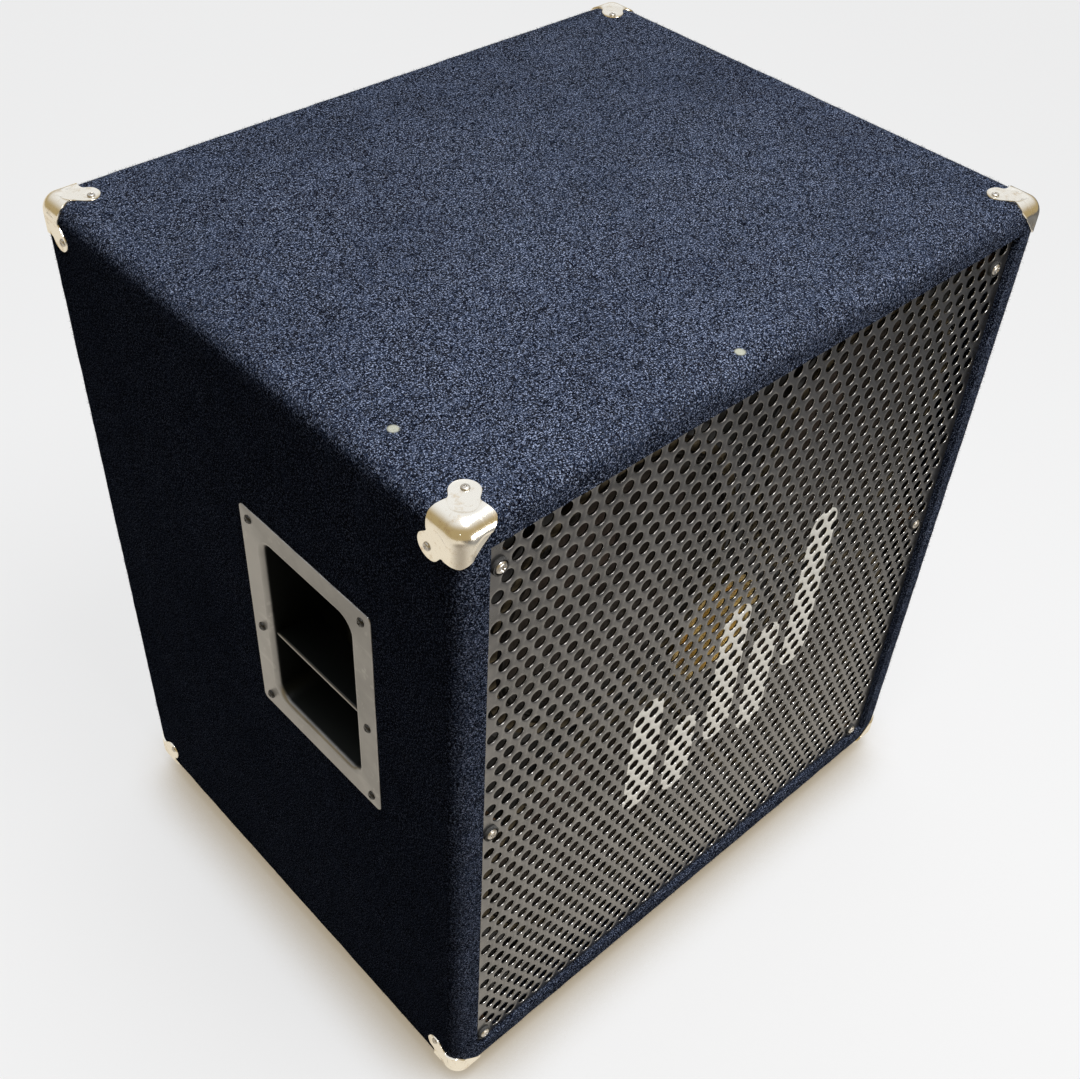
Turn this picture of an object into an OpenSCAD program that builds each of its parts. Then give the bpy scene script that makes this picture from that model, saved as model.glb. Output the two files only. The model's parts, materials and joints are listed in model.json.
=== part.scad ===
// Carpeted loudspeaker cabinet: four ten inch drivers and a horn behind a perforated steel grille.
// X runs to the right as seen from the front, Y runs from the front to the back, Z runs up.
// The origin is the middle of the footprint, on the surface that the rubber feet stand on.

/* [Cabinet] */
// Width over the carpet
cab_w = 570; // [562:1:700]
// Depth over the carpet
cab_d = 458; // [400:1:600]
// Height over the carpet, without the feet
cab_h = 626; // [614:1:780]
// Thickness of the plywood panels
ply_t = 18; // [15:1:21]
// Thickness of the carpet
carpet_t = 2.5; // [1.5:0.5:4]
// Outside radius of the carpeted edges
edge_r = 12; // [8:1:15]
// Width of the strip of side carpet that folds round onto the back
back_fold = 22; // [16:1:40]
// Height of one inner brace
brace_h = 70; // [40:1:100]
// Thickness of the wadding pads
wadding_t = 25; // [15:1:40]

/* [Grille] */
// Distance from the lip's front down to the grille
grille_recess = 5; // [3:0.5:12]
// Thickness of the grille's steel sheet
grille_t = 1.5; // [1:0.1:2.5]
// Gap between the grille and the opening all round
grille_gap = 1; // [0.5:0.5:3]
// Diameter of the round holes
hole_d = 10; // [6:0.5:11]
// Centre distance between neighbouring holes
hole_pitch = 15; // [13:0.5:20]
// Space between the grille's back and the baffle
grille_space = 22; // [20:1:40]
// Height of a grille screw's rubber cup
cup_h = 2.4; // [1.5:0.1:3]

/* [Drivers] */
// Outside diameter of a driver's frame
driver_d = 256; // [230:1:258]
// Gap between neighbouring frames
driver_gap = 1; // [0.5:0.5:6]
// Height of the drivers' common centre above the opening's centre
driver_rise = 25; // [15:1:30]
// Travel of a cone to each side of rest
cone_travel = 4; // [2:0.5:6]
// Diameter of the voice coil's former
coil_d = 51; // [45:1:60]
// Diameter of the magnet
magnet_d = 144; // [120:1:160]
// Thickness of the magnet
magnet_t = 20; // [15:1:30]
// Number of screws round one frame
driver_screw_count = 8; // [4:1:8]

/* [Horn and ports] */
// Diameter of the horn's flange
horn_d = 100; // [80:1:104]
// Diameter of the horn's mouth
horn_mouth_d = 84; // [60:1:88]
// Bore of a port tube
port_bore = 52; // [40:1:54]
// Length of a port tube behind the baffle
port_len = 108; // [60:1:200]
// Distance of a side port's centre from the opening's side
port_side = 48; // [46:1:60]
// Distance of the ports' centres from the opening's bottom
port_up = 47; // [44:1:60]

/* [Handles] */
// Length of a handle's flange, front to back
handle_w = 146; // [130:1:180]
// Height of a handle's flange
handle_h = 203; // [190:1:240]
// Width of the hand opening
hand_w = 100; // [90:1:110]
// Height of the hand opening
hand_h = 161; // [150:1:170]
// Depth of the dish
dish_depth = 68; // [60:1:80]
// Distance from the cabinet's front to the flange
handle_back = 85; // [70:1:160]
// Distance from the cabinet's top to the flange
handle_down = 133; // [80:1:200]
// Depth of the grip, front to back of the dish
grip_depth = 38; // [30:1:44]

/* [Corner protectors] */
// Thickness of the steel
corner_t = 1.2; // [1:0.1:2]
// Reach of the protector along an edge
corner_reach = 29; // [25:1:38]
// Distance of an ear's screw from both edges
ear_at = 27.5; // [25:0.5:36]
// Radius of an ear
ear_r = 9.5; // [7:0.5:12]

/* [Feet] */
// Height of a rubber foot
foot_h = 15; // [8:1:30]
// Diameter of a foot at the top
foot_d = 40; // [28:1:50]
// Distance of a foot's centre from the cabinet's sides
foot_inset = 62; // [50:1:100]

/* [Jack plate] */
// Width of the plate
plate_w = 136; // [126:1:170]
// Height of the plate
plate_h = 100; // [90:1:130]
// Depth of the plate's dish
plate_depth = 24; // [20:1:32]
// Bore of a jack socket
jack_bore = 6.5; // [6.4:0.1:6.8]
// Diameter of the level knob
knob_d = 20; // [16:1:26]

/* [Hidden] */
$fn = 64;

// Clearances
fit = 0.1;           // round a screw's shank, and between parts that only touch
slack = 0.3;         // between a driver's moving and fixed pieces
over = 1;            // how far a cutter runs past a face

// Cabinet
ply_w = cab_w - 2 * carpet_t;
ply_d = cab_d - 2 * carpet_t;
ply_h = cab_h - 2 * carpet_t;
ply_r = edge_r - carpet_t;
inner_w = ply_w - 2 * ply_t;
inner_h = ply_h - 2 * ply_t;
lip = ply_t + 2 * carpet_t;
open_w = cab_w - 2 * lip;
open_h = cab_h - 2 * lip;
mid_z = foot_h + cab_h / 2;
front_y = -cab_d / 2;
grille_y = front_y + grille_recess;
baffle_y = grille_y + grille_t + grille_space;
back_y = cab_d / 2;
ply_back_y = back_y - carpet_t;
inner_back_y = ply_back_y - ply_t;

// Grille
grille_w = open_w - 2 * grille_gap;
grille_h = open_h - 2 * grille_gap;
grille_border = 4;   // narrowest rim left outside the holes
row_pitch = hole_pitch * sqrt(3) / 2;
cols = floor((grille_w - 2 * grille_border - hole_d - hole_pitch / 2) / hole_pitch) + 1;
rows = floor((grille_h - 2 * grille_border - hole_d) / row_pitch) + 1;
screw_rows = [1, floor(rows / 2) - 1, 2 * floor(rows / 2) - 1];
grille_screw_r = 2;
block_w = 14;

// Drivers, in their own frame: z = 0 is the baffle's front and z runs into the cabinet
driver_at = (driver_d + driver_gap) / 2;
driver_z = mid_z + driver_rise;
TL = [-driver_at, driver_z + driver_at];
TR = [driver_at, driver_z + driver_at];
BL = [-driver_at, driver_z - driver_at];
BR = [driver_at, driver_z - driver_at];
flange_t = 5;
frame_r = driver_d / 2;
screw_ring_r = frame_r - 5.2;
cutout_r = frame_r - 10.5;
rim_r = cutout_r - 4.5;           // the frame's inner rim
cone_r = rim_r - 12;              // the cone's outer edge
cone_edge_z = -4.5;
former_r = coil_d / 2;
former_t = 0.35;
winding_t = 0.7;
neck_z = 44;
spider_z = 60;
seat_r = 62;                      // the frame's spider seat
chassis_t = 1.6;
motor_z = 80;
plate_t = 8;
motor_r = 60;
cone_t = 0.9;
surround_t = 0.8;
dust_r = 40;

// Horn
horn_len = 44;
throat_r = 12.5;
horn_wall = 2.5;

// Ports
port_wall = 2;
port_r = port_bore / 2 + port_wall;
port_lip = 3;
port_z = mid_z - open_h / 2 + port_up;
PORTS = [[0, port_z + 3], [-(open_w / 2 - port_side), port_z], [open_w / 2 - port_side, port_z]];

// Handles
sheet_t = 1.5;
flange_proud = 0.8;
handle_y = front_y + handle_back + handle_w / 2;
handle_z = foot_h + cab_h - handle_down - handle_h / 2;
hand_r = 12;
grip_z = handle_z - 15;
grip_nose_r = 4;
grip_set_back = 4;
grip_t = 3;
grip_drop = 6;
handle_rim = 10;                  // from the flange's edge to its screws
handle_rows = [handle_h / 2 - handle_rim, grip_z - handle_z, -(handle_h / 2 - handle_rim)];

// Corner protectors
corner_proud = 0.6;
ear_neck = 1;         // how much the ear's neck stands in from the ear's sides
corner_span = ear_at + ear_r + 8;
front_cut = corner_reach + 3;

// Jack plate
dish_w = plate_w - 28;
dish_h = plate_h - 28;
jack_z = driver_z;
jack_x = [-34, -6];
level_x = 32;
shaft_r = 3;
floor_y = back_y + flange_proud - plate_depth;

// Shared shapes

module rounded_rect(w, h, r) {
  square([w - 2 * r, h], center = true);
  square([w, h - 2 * r], center = true);
  for (x = [-1, 1], y = [-1, 1])
    translate([x * (w / 2 - r), y * (h / 2 - r)]) circle(r = r);
}

// A block with all twelve edges rounded, centred, standing on z = 0
module rounded_block(w, d, h, r) {
  translate([0, 0, h / 2]) intersection() {
    linear_extrude(h, center = true) rounded_rect(w, d, r);
    rotate([90, 0, 0]) linear_extrude(d, center = true) rounded_rect(w, h, r);
    rotate([90, 0, 90]) linear_extrude(w, center = true) rounded_rect(d, h, r);
  }
}

// A box given by its lowest and highest corners
module span(low, high) {
  translate(low) cube(high - low);
}

// A screw with its head's underside on z = 0 and its shank along -z
module screw(head_r, head_h, shank_r, len) {
  difference() {
    union() {
      cylinder(r1 = head_r, r2 = head_r * 0.72, h = head_h);
      translate([0, 0, -len]) cylinder(r = shank_r, h = len + head_h / 2);
    }
    for (a = [0, 90])
      rotate([0, 0, a]) translate([0, 0, head_h])
        cube([head_r * 0.95, head_r * 0.2, head_h], center = true);
  }
}

// Puts a shape that faces +z onto the left (-1) or right (1) side, facing outward
module on_side(side, y, z, x) {
  translate([side * x, y, z]) rotate([0, side * 90, 0]) rotate([0, 0, side > 0 ? 90 : -90]) children();
}

// Puts a shape that faces +z onto the back, facing outward
module on_back(x, z, y) {
  translate([x, y, z]) rotate([-90, 0, 0]) rotate([0, 0, 180]) children();
}

// Puts a shape whose z runs into the cabinet onto the baffle
module on_baffle(at) {
  translate([at[0], baffle_y, at[1]]) rotate([-90, 0, 0]) children();
}

module on_each_driver() {
  for (at = [TL, TR, BL, BR]) on_baffle(at) children();
}

// Cabinet

module ply_block() {
  translate([0, 0, foot_h + carpet_t]) rounded_block(ply_w, ply_d, ply_h, ply_r);
}

module pilot(r, len) {
  translate([0, 0, -len]) cylinder(r = r, h = len + over);
}

module panel_top() color("burlywood") {
  difference() {
    intersection() {
      ply_block();
      span([-ply_w, -ply_d, mid_z + inner_h / 2], [ply_w, ply_d, mid_z + ply_h]);
    }
    corner_pilots();
  }
}

module panel_bottom() color("burlywood") {
  difference() {
    intersection() {
      ply_block();
      span([-ply_w, -ply_d, 0], [ply_w, ply_d, mid_z - inner_h / 2]);
    }
    corner_pilots();
    on_each_foot() pilot_up(foot_screw_r + fit, foot_screw_len);
  }
}

module side_panel(side) {
  difference() {
    intersection() {
      ply_block();
      span([side < 0 ? -ply_w : inner_w / 2, -ply_d, mid_z - inner_h / 2],
           [side < 0 ? -inner_w / 2 : ply_w, ply_d, mid_z + inner_h / 2]);
    }
    corner_pilots();
    on_side(side, handle_y, handle_z, inner_w / 2 - over)
      linear_extrude(ply_t + 3 * over)
        rounded_rect(hand_w + 2 * (sheet_t + fit), hand_h + 2 * (sheet_t + fit), hand_r + sheet_t);
    handle_screw_places(side) pilot(handle_screw_r + fit, handle_screw_len);
  }
}

module panel_left() color("burlywood") side_panel(-1);

module panel_right() color("burlywood") side_panel(1);

module panel_back() color("burlywood") {
  difference() {
    span([-inner_w / 2, inner_back_y, mid_z - inner_h / 2],
         [inner_w / 2, ply_back_y, mid_z + inner_h / 2]);
    corner_pilots();
    span([-dish_w / 2 - sheet_t - fit, inner_back_y - over, jack_z - dish_h / 2 - sheet_t - fit],
         [dish_w / 2 + sheet_t + fit, back_y, jack_z + dish_h / 2 + sheet_t + fit]);
    plate_screw_places() pilot(plate_screw_r + fit, plate_screw_len);
  }
}

module baffle() color("dimgray") {
  difference() {
    span([-inner_w / 2, baffle_y, mid_z - inner_h / 2],
         [inner_w / 2, baffle_y + ply_t, mid_z + inner_h / 2]);
    on_each_driver() {
      translate([0, 0, -over]) cylinder(r = cutout_r, h = ply_t + 2 * over);
      driver_screw_ring() translate([0, 0, -over]) cylinder(r = driver_screw_r + fit, h = ply_t + 2 * over);
    }
    on_baffle([0, driver_z]) {
      translate([0, 0, -over]) cylinder(r = horn_mouth_d / 2 + horn_wall + fit, h = ply_t + 2 * over);
    }
    for (at = PORTS)
      on_baffle(at) translate([0, 0, -over]) cylinder(r = port_r + fit, h = ply_t + 2 * over);
  }
}

// Two struts tie the baffle to the back between the left and right drivers
module braces() color("burlywood") {
  for (z = [TL[1], BL[1]])
    span([-ply_t / 2, baffle_y + ply_t, z - brace_h / 2], [ply_t / 2, inner_back_y, z + brace_h / 2]);
}

// Hardwood blocks on the baffle that the grille is screwed to
module grille_blocks() color("saddlebrown") {
  difference() {
    on_each_grille_screw()
      translate([-block_w / 2, -block_w / 2, -grille_space])
        cube([block_w, block_w, grille_space - fit]);
    on_each_grille_screw() pilot(grille_screw_r + fit, grille_screw_len);
  }
}

// The wrap covers the four sides, turns in over the lip to the baffle and folds onto the back
module carpet_wrap() color("midnightblue") {
  difference() {
    union() {
      difference() {
        translate([0, 0, foot_h]) rounded_block(cab_w, cab_d, cab_h, edge_r);
        ply_block();
      }
      span([-inner_w / 2, front_y + carpet_t / 2, mid_z - inner_h / 2],
           [inner_w / 2, baffle_y, mid_z + inner_h / 2]);
    }
    span([-open_w / 2, front_y - over, mid_z - open_h / 2], [open_w / 2, baffle_y + over, mid_z + open_h / 2]);
    span([-cab_w / 2 + back_fold, back_y - 2 * carpet_t, foot_h + back_fold],
         [cab_w / 2 - back_fold, back_y + over, foot_h + cab_h - back_fold]);
    for (side = [-1, 1]) {
      on_side(side, handle_y, handle_z, cab_w / 2 - carpet_t - over)
        linear_extrude(carpet_t + 2 * over) rounded_rect(handle_w + 2 * fit, handle_h + 2 * fit, hand_r / 3);
    }
    corner_shells([-1, 1]);
    corner_pilots();
    on_each_foot() pilot_up(foot_screw_r + fit, foot_screw_len);
  }
}

module carpet_back() color("midnightblue") {
  seam = back_fold + fit;
  difference() {
    span([-cab_w / 2 + seam, ply_back_y, foot_h + seam], [cab_w / 2 - seam, back_y, foot_h + cab_h - seam]);
    span([-plate_w / 2 - fit, ply_back_y - over, jack_z - plate_h / 2 - fit],
         [plate_w / 2 + fit, back_y + over, jack_z + plate_h / 2 + fit]);
    corner_shells([-1, 1]);
    corner_pilots();
  }
}

// Pads of wadding on the back panel, two above and two below the jack plate, and one under the top
module wadding() color("whitesmoke") {
  pad_gap = 12;
  for (side = [-1, 1], z = [mid_z - inner_h / 2 + pad_gap, jack_z + plate_h]) {
    x = side < 0 ? -inner_w / 2 + pad_gap : ply_t / 2 + pad_gap;
    pad_top = z < mid_z ? jack_z - plate_h : mid_z + inner_h / 2 - 2 * pad_gap - wadding_t;
    span([x, inner_back_y - wadding_t, z],
         [x + inner_w / 2 - 2 * pad_gap - ply_t / 2, inner_back_y, pad_top]);
  }
  span([-inner_w / 2 + pad_gap, baffle_y + motor_z, mid_z + inner_h / 2 - wadding_t],
       [inner_w / 2 - pad_gap, inner_back_y - pad_gap, mid_z + inner_h / 2]);
}

// Grille

function hole_x(row, col) = (col - (cols - 1) / 2) * hole_pitch + (row % 2 == 0 ? 1 : -1) * hole_pitch / 4;
function hole_z(row) = mid_z + ((rows - 1) / 2 - row) * row_pitch;
function is_screw(row, col) = len(search(row, screw_rows)) > 0 && (col == 0 || col == cols - 1);

// Every other row is shifted by half a pitch, and six places at the sides take screws
module grille() color("dimgray") {
  translate([0, grille_y + grille_t, 0]) rotate([90, 0, 0]) linear_extrude(grille_t) difference() {
    translate([0, mid_z]) square([grille_w, grille_h], center = true);
    for (row = [0:rows - 1], col = [0:cols - 1])
      translate([hole_x(row, col), hole_z(row)])
        circle(d = is_screw(row, col) ? 2 * (grille_screw_r + fit) : hole_d, $fn = 24);
  }
}

// Each grille screw place, with z pointing out of the grille's back face towards the front
module on_each_grille_screw() {
  for (row = screw_rows, col = [0, cols - 1])
    translate([hole_x(row, col), grille_y + grille_t, hole_z(row)]) rotate([90, 0, 0]) children();
}

grille_screw_len = 20;

module grille_screws() color("silver") {
  on_each_grille_screw() translate([0, 0, grille_t + 1.2]) screw(5, 2.6, grille_screw_r, grille_screw_len);
}

module grille_cups() color("black") {
  on_each_grille_screw() translate([0, 0, grille_t]) difference() {
    cylinder(r = 6.2, h = cup_h);
    translate([0, 0, 1.2]) cylinder(r = 5.2, h = cup_h);
    translate([0, 0, -over]) cylinder(r = grille_screw_r + fit, h = cup_h);
  }
}

// Handles

handle_screw_r = 2;
handle_screw_len = 15;

module handle_screw_places(side) {
  on_side(side, handle_y, handle_z, cab_w / 2 + flange_proud)
    for (x = [-1, 1], z = handle_rows) translate([x * (handle_w / 2 - handle_rim), z, 0]) children();
}

// A pressed dish: a flange with a rectangular cup behind it
module handle_dish(side) {
  difference() {
    on_side(side, handle_y, handle_z, cab_w / 2 + flange_proud) {
      difference() {
        union() {
          translate([0, 0, -sheet_t]) linear_extrude(sheet_t) rounded_rect(handle_w, handle_h, hand_r / 3);
          translate([0, 0, -dish_depth]) linear_extrude(dish_depth - sheet_t / 2)
            rounded_rect(hand_w + 2 * sheet_t, hand_h + 2 * sheet_t, hand_r + sheet_t);
        }
        translate([0, 0, sheet_t - dish_depth]) linear_extrude(dish_depth)
          rounded_rect(hand_w, hand_h, hand_r);
      }
    }
    handle_screw_places(side) pilot(handle_screw_r + fit, 2 * sheet_t);
  }
}

module handle_dish_left() color("dimgray") handle_dish(-1);

module handle_dish_right() color("dimgray") handle_dish(1);

// The grip is a bent plate with a rolled nose that spans the dish
module handle_grip(side) {
  nose = grip_set_back + grip_nose_r;
  on_side(side, handle_y, grip_z, cab_w / 2 + flange_proud)
    rotate([0, 90, 0]) linear_extrude(hand_w - 2 * fit, center = true) {
      translate([nose, 0]) circle(r = grip_nose_r);
      polygon([
        [nose, grip_nose_r], [nose, grip_nose_r - grip_t],
        [grip_set_back + grip_depth, grip_nose_r - grip_t - grip_drop],
        [grip_set_back + grip_depth, grip_nose_r - grip_drop]
      ]);
    }
}

module handle_grip_left() color("gray") handle_grip(-1);

module handle_grip_right() color("gray") handle_grip(1);

module handle_screws() color("black") {
  for (side = [-1, 1]) handle_screw_places(side) screw(3.6, 2, handle_screw_r, handle_screw_len);
}

// Corner protectors, in a frame whose axes run inward from the cabinet's corner

corner_screw_r = 1.5;
corner_screw_len = 14;

module on_corner(x, y, z) {
  translate([x * cab_w / 2, y * cab_d / 2, z < 0 ? foot_h : foot_h + cab_h])
    mirror([x > 0 ? 1 : 0, 0, 0]) mirror([0, y > 0 ? 1 : 0, 0]) mirror([0, 0, z > 0 ? 1 : 0]) children();
}

module corner_outline(out, r) {
  translate([-out, r - out]) square([corner_span + out, corner_span - r + out]);
  translate([r - out, -out]) square([corner_span - r + out, corner_span + out]);
  translate([r - out, r - out]) circle(r = r);
}

// The cabinet's rounded corner, grown outward by out
module corner_block(out) {
  r = edge_r + out;
  size = corner_span + out;
  intersection() {
    translate([0, 0, -out]) linear_extrude(size) corner_outline(out, r);
    rotate([90, 0, 0]) translate([0, 0, -corner_span]) linear_extrude(size) corner_outline(out, r);
    rotate([90, 0, 90]) translate([0, 0, -out]) linear_extrude(size) corner_outline(out, r);
  }
}

// One ear on each face: z normal, x normal and, on the rear corners, y normal
module ears(rear) {
  children();
  rotate([0, -90, 0]) mirror([0, 0, 1]) children();
  if (rear) rotate([90, 0, 0]) mirror([0, 0, 1]) children();
}

module ear_stem() {
  half = ear_r - ear_neck;
  translate([0, 0, -over - corner_proud]) linear_extrude(over + 2 * corner_proud + corner_t) {
    translate([ear_at, ear_at]) circle(r = ear_r);
    rotate(45) translate([corner_reach / 2, -half]) square([ear_at * sqrt(2) - corner_reach / 2, 2 * half]);
  }
}

module corner_shell(rear) {
  difference() {
    intersection() {
      corner_block(corner_proud);
      union() {
        sphere(r = corner_reach);
        ears(rear) ear_stem();
      }
    }
    corner_block(corner_proud - corner_t);
    if (!rear)
      rotate([90, 0, 0]) translate([0, 0, -2 * corner_t]) linear_extrude(2 * corner_t + over)
        polygon([[front_cut, -over], [corner_span, -over], [corner_span, corner_span],
                 [-over, corner_span], [-over, front_cut]]);
  }
}

module corner_shells(levels) {
  for (z = levels, x = [-1, 1], y = [-1, 1]) on_corner(x, y, z) corner_shell(y > 0);
}

module corner_screw_places(levels) {
  for (z = levels, x = [-1, 1], y = [-1, 1])
    on_corner(x, y, z) ears(y > 0)
      translate([ear_at, ear_at, -corner_proud]) mirror([0, 0, 1]) children();
}

module corner_pilots() {
  corner_screw_places([-1, 1]) pilot(corner_screw_r + fit, corner_screw_len);
}

module protectors(levels) {
  difference() {
    corner_shells(levels);
    corner_screw_places(levels) pilot(corner_screw_r + fit, 2 * corner_t);
  }
}

module corners_top() color("gainsboro") protectors([1]);

module corners_bottom() color("gainsboro") protectors([-1]);

module corner_screws() color("silver") {
  corner_screw_places([-1, 1]) screw(2.9, 1.4, corner_screw_r, corner_screw_len);
}

// Feet

foot_screw_r = 2.4;
foot_screw_len = 14;
foot_sink = 8;

module on_each_foot() {
  for (x = [-1, 1], y = [-1, 1])
    translate([x * (cab_w / 2 - foot_inset), y * (cab_d / 2 - foot_inset), foot_h]) children();
}

module pilot_up(r, len) {
  translate([0, 0, -over]) cylinder(r = r, h = len + over);
}

module feet() color("black") {
  on_each_foot() difference() {
    translate([0, 0, -foot_h]) cylinder(r1 = foot_d / 2 - 3, r2 = foot_d / 2, h = foot_h);
    translate([0, 0, -foot_h - over]) cylinder(r = 6.5, h = foot_sink + over);
    translate([0, 0, -foot_h]) cylinder(r = foot_screw_r + fit, h = foot_h + over);
  }
}

module foot_screws() color("silver") {
  on_each_foot() translate([0, 0, foot_sink - foot_h]) mirror([0, 0, 1])
    screw(4.6, 3, foot_screw_r, foot_screw_len + foot_h - foot_sink);
}

// Jack plate, with two sockets and the horn's level control

plate_screw_r = 1.8;
plate_screw_len = 15;
bushing_r = 4.5;
jack_nose_r = 5.5;
jack_body_len = 24;

module plate_screw_places() {
  on_back(0, jack_z, back_y + flange_proud)
    for (x = [-1, 1], z = [-1, 1]) translate([x * (plate_w / 2 - 7), z * (plate_h / 2 - 7), 0]) children();
}

module jack_plate() color("dimgray") {
  difference() {
    on_back(0, jack_z, back_y + flange_proud) difference() {
      union() {
        translate([0, 0, -sheet_t]) linear_extrude(sheet_t) rounded_rect(plate_w, plate_h, 4);
        translate([0, 0, -plate_depth]) linear_extrude(plate_depth - sheet_t / 2)
          square([dish_w + 2 * sheet_t, dish_h + 2 * sheet_t], center = true);
      }
      translate([0, 0, sheet_t - plate_depth]) linear_extrude(plate_depth)
        square([dish_w, dish_h], center = true);
    }
    plate_screw_places() pilot(plate_screw_r + fit, 2 * sheet_t);
    for (x = jack_x) on_back(x, jack_z, floor_y - over) cylinder(r = jack_nose_r + fit, h = sheet_t + 2 * over);
    on_back(level_x, jack_z, floor_y - over) cylinder(r = bushing_r + fit, h = sheet_t + 2 * over);
  }
}

module jack_sockets() color("black") {
  for (x = jack_x) on_back(x, jack_z, floor_y) difference() {
    union() {
      translate([-10, -10, -jack_body_len]) cube([20, 20, jack_body_len - fit]);
      translate([0, 0, -fit]) cylinder(r = jack_nose_r, h = sheet_t + 5);
      translate([0, 0, sheet_t + fit]) cylinder(r = 8, h = 2.5, $fn = 6);
    }
    translate([0, 0, 2 - jack_body_len]) cylinder(r = jack_bore / 2, h = jack_body_len + sheet_t + 5);
  }
}

module level_control() color("silver") {
  on_back(level_x, jack_z, floor_y) difference() {
    union() {
      translate([0, 0, -14]) cylinder(r = 12, h = 14 - fit);
      translate([0, 0, -fit]) cylinder(r = bushing_r, h = sheet_t + 3.5);
      translate([0, 0, sheet_t + fit]) cylinder(r = 6.5, h = 2, $fn = 6);
    }
    translate([0, 0, -12]) cylinder(r = shaft_r + fit / 2, h = 40);
  }
}

module level_shaft() color("silver") {
  on_back(level_x, jack_z, floor_y - 11) cylinder(r = shaft_r, h = 26);
}

// A fluted knob with a pointer groove across its top
module level_knob() color("black") {
  on_back(level_x, jack_z, floor_y + sheet_t + 4.5) difference() {
    cylinder(r1 = knob_d / 2, r2 = knob_d / 2 - 1.2, h = 13);
    translate([0, 0, -over]) cylinder(r = shaft_r, h = 9.5 + over);
    for (a = [0:30:330]) rotate([0, 0, a]) translate([knob_d / 2 + 0.6, 0, 3]) cylinder(r = 1.4, h = 12);
    translate([-0.6, 1, 12.2]) cube([1.2, knob_d / 2, over]);
  }
}

module jack_plate_screws() color("black") {
  plate_screw_places() screw(3.4, 1.8, plate_screw_r, plate_screw_len);
}

// The crossover board stands off the back panel beside the jack plate
module crossover() color("darkgreen") {
  board_w = 120;
  board_h = 84;
  stand = 8;
  translate([inner_w / 4 + 20, inner_back_y, jack_z]) rotate([90, 0, 0]) {
    translate([-board_w / 2, -board_h / 2, stand]) cube([board_w, board_h, 2]);
    for (x = [-1, 1], y = [-1, 1])
      translate([x * (board_w / 2 - 6), y * (board_h / 2 - 6), 0]) cylinder(r = 3.5, h = stand + 1);
    for (x = [-34, 14]) translate([x, 14, stand + 1]) difference() {
      cylinder(r = 19, h = 19);
      translate([0, 0, 3]) cylinder(r = 7, h = 20);
    }
    for (i = [0:2]) translate([-44 + 22 * i, -24, stand + 1]) cylinder(r = 8, h = 24);
    translate([20, -34, stand + 1]) cube([32, 12, 13]);
  }
}

// Horn: a flared bell with a flange, and the compression driver behind it

// The bell's radius at a distance from the mouth, an exponential flare
function bell_r(z) = throat_r * exp(ln(horn_mouth_d / 2 / throat_r) * (1 - z / horn_len));

module horn() color("goldenrod") {
  steps = 12;
  on_baffle([0, driver_z]) difference() {
    rotate_extrude() polygon(concat(
      [for (i = [0:steps]) [bell_r(horn_len * i / steps), -flange_t + horn_len * i / steps]],
      [for (i = [steps:-1:2]) [bell_r(horn_len * i / steps) + horn_wall, -flange_t + horn_len * i / steps]],
      [[horn_mouth_d / 2 + horn_wall - 2, 0], [horn_d / 2, 0], [horn_d / 2, -flange_t]]
    ));
    for (a = [45:90:315])
      rotate([0, 0, a]) translate([horn_d / 2 - 4, 0, -flange_t - over])
        cylinder(r = 1.8, h = flange_t + 2 * over);
  }
}

module horn_driver() color("dimgray") {
  on_baffle([0, driver_z]) difference() {
    translate([0, 0, horn_len - flange_t]) union() {
      cylinder(r = throat_r + 8, h = 7);
      translate([0, 0, 6]) cylinder(r = 38, h = 8);
      translate([0, 0, 14]) cylinder(r = 34, h = 22);
      translate([0, 0, 36]) cylinder(r = 24, h = 5);
    }
    translate([0, 0, horn_len - flange_t - over]) cylinder(r = throat_r, h = 12);
  }
}

module ports() color("black") {
  for (at = PORTS) on_baffle(at) rotate_extrude() polygon([
    [port_bore / 2 + 2, -port_lip], [port_r + 3, -port_lip], [port_r + 3, 0], [port_r, 0],
    [port_r, port_len], [port_bore / 2, port_len], [port_bore / 2, 1]
  ]);
}

// Drivers: pieces fixed to the baffle

driver_screw_r = 2.4;
driver_screw_len = 22;

module driver_screw_ring() {
  for (i = [0:driver_screw_count - 1])
    rotate([0, 0, (i + 0.5) * 360 / driver_screw_count]) translate([screw_ring_r, 0, 0]) children();
}

// The pressed steel frame: a rim, a coned wall with windows, a spider seat and a motor seat
module driver_frames() color("dimgray") {
  wall_r = cutout_r - 2;
  windows = 6;
  on_each_driver() difference() {
    rotate_extrude() polygon([
      [rim_r, -flange_t], [frame_r, -flange_t], [frame_r, 0], [wall_r, 0], [wall_r, 7],
      [seat_r + 2, spider_z + 3], [seat_r + 2, motor_z], [former_r + 8, motor_z],
      [former_r + 8, motor_z - chassis_t], [seat_r + 2 - chassis_t, motor_z - chassis_t],
      [seat_r + 2 - chassis_t, spider_z + 3], [seat_r - 6, spider_z + 3],
      [seat_r - 6, spider_z + surround_t + slack], [seat_r, spider_z + surround_t + slack],
      [wall_r - chassis_t, 5], [rim_r, -flange_t + chassis_t]
    ]);
    for (i = [0:windows - 1])
      rotate([0, 0, (i + 0.5) * 360 / windows])
        translate([seat_r + 6, -17, 16]) cube([cutout_r, 34, spider_z - 22]);
    driver_screw_ring() translate([0, 0, -flange_t - over])
      cylinder(r = driver_screw_r + fit, h = flange_t + 2 * over);
  }
}

// A pressed paper ring that holds the surround's rim on the frame
module driver_gaskets() color("tan") {
  lip_z = -flange_t - 2 * slack - surround_t;
  on_each_driver() rotate_extrude() polygon([
    [rim_r - 4, lip_z], [rim_r + 3, lip_z], [rim_r + 3, -flange_t], [rim_r + 5, -flange_t],
    [rim_r + 5, lip_z - 2.4], [rim_r - 4, lip_z - 2.4]
  ]);
}

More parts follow.
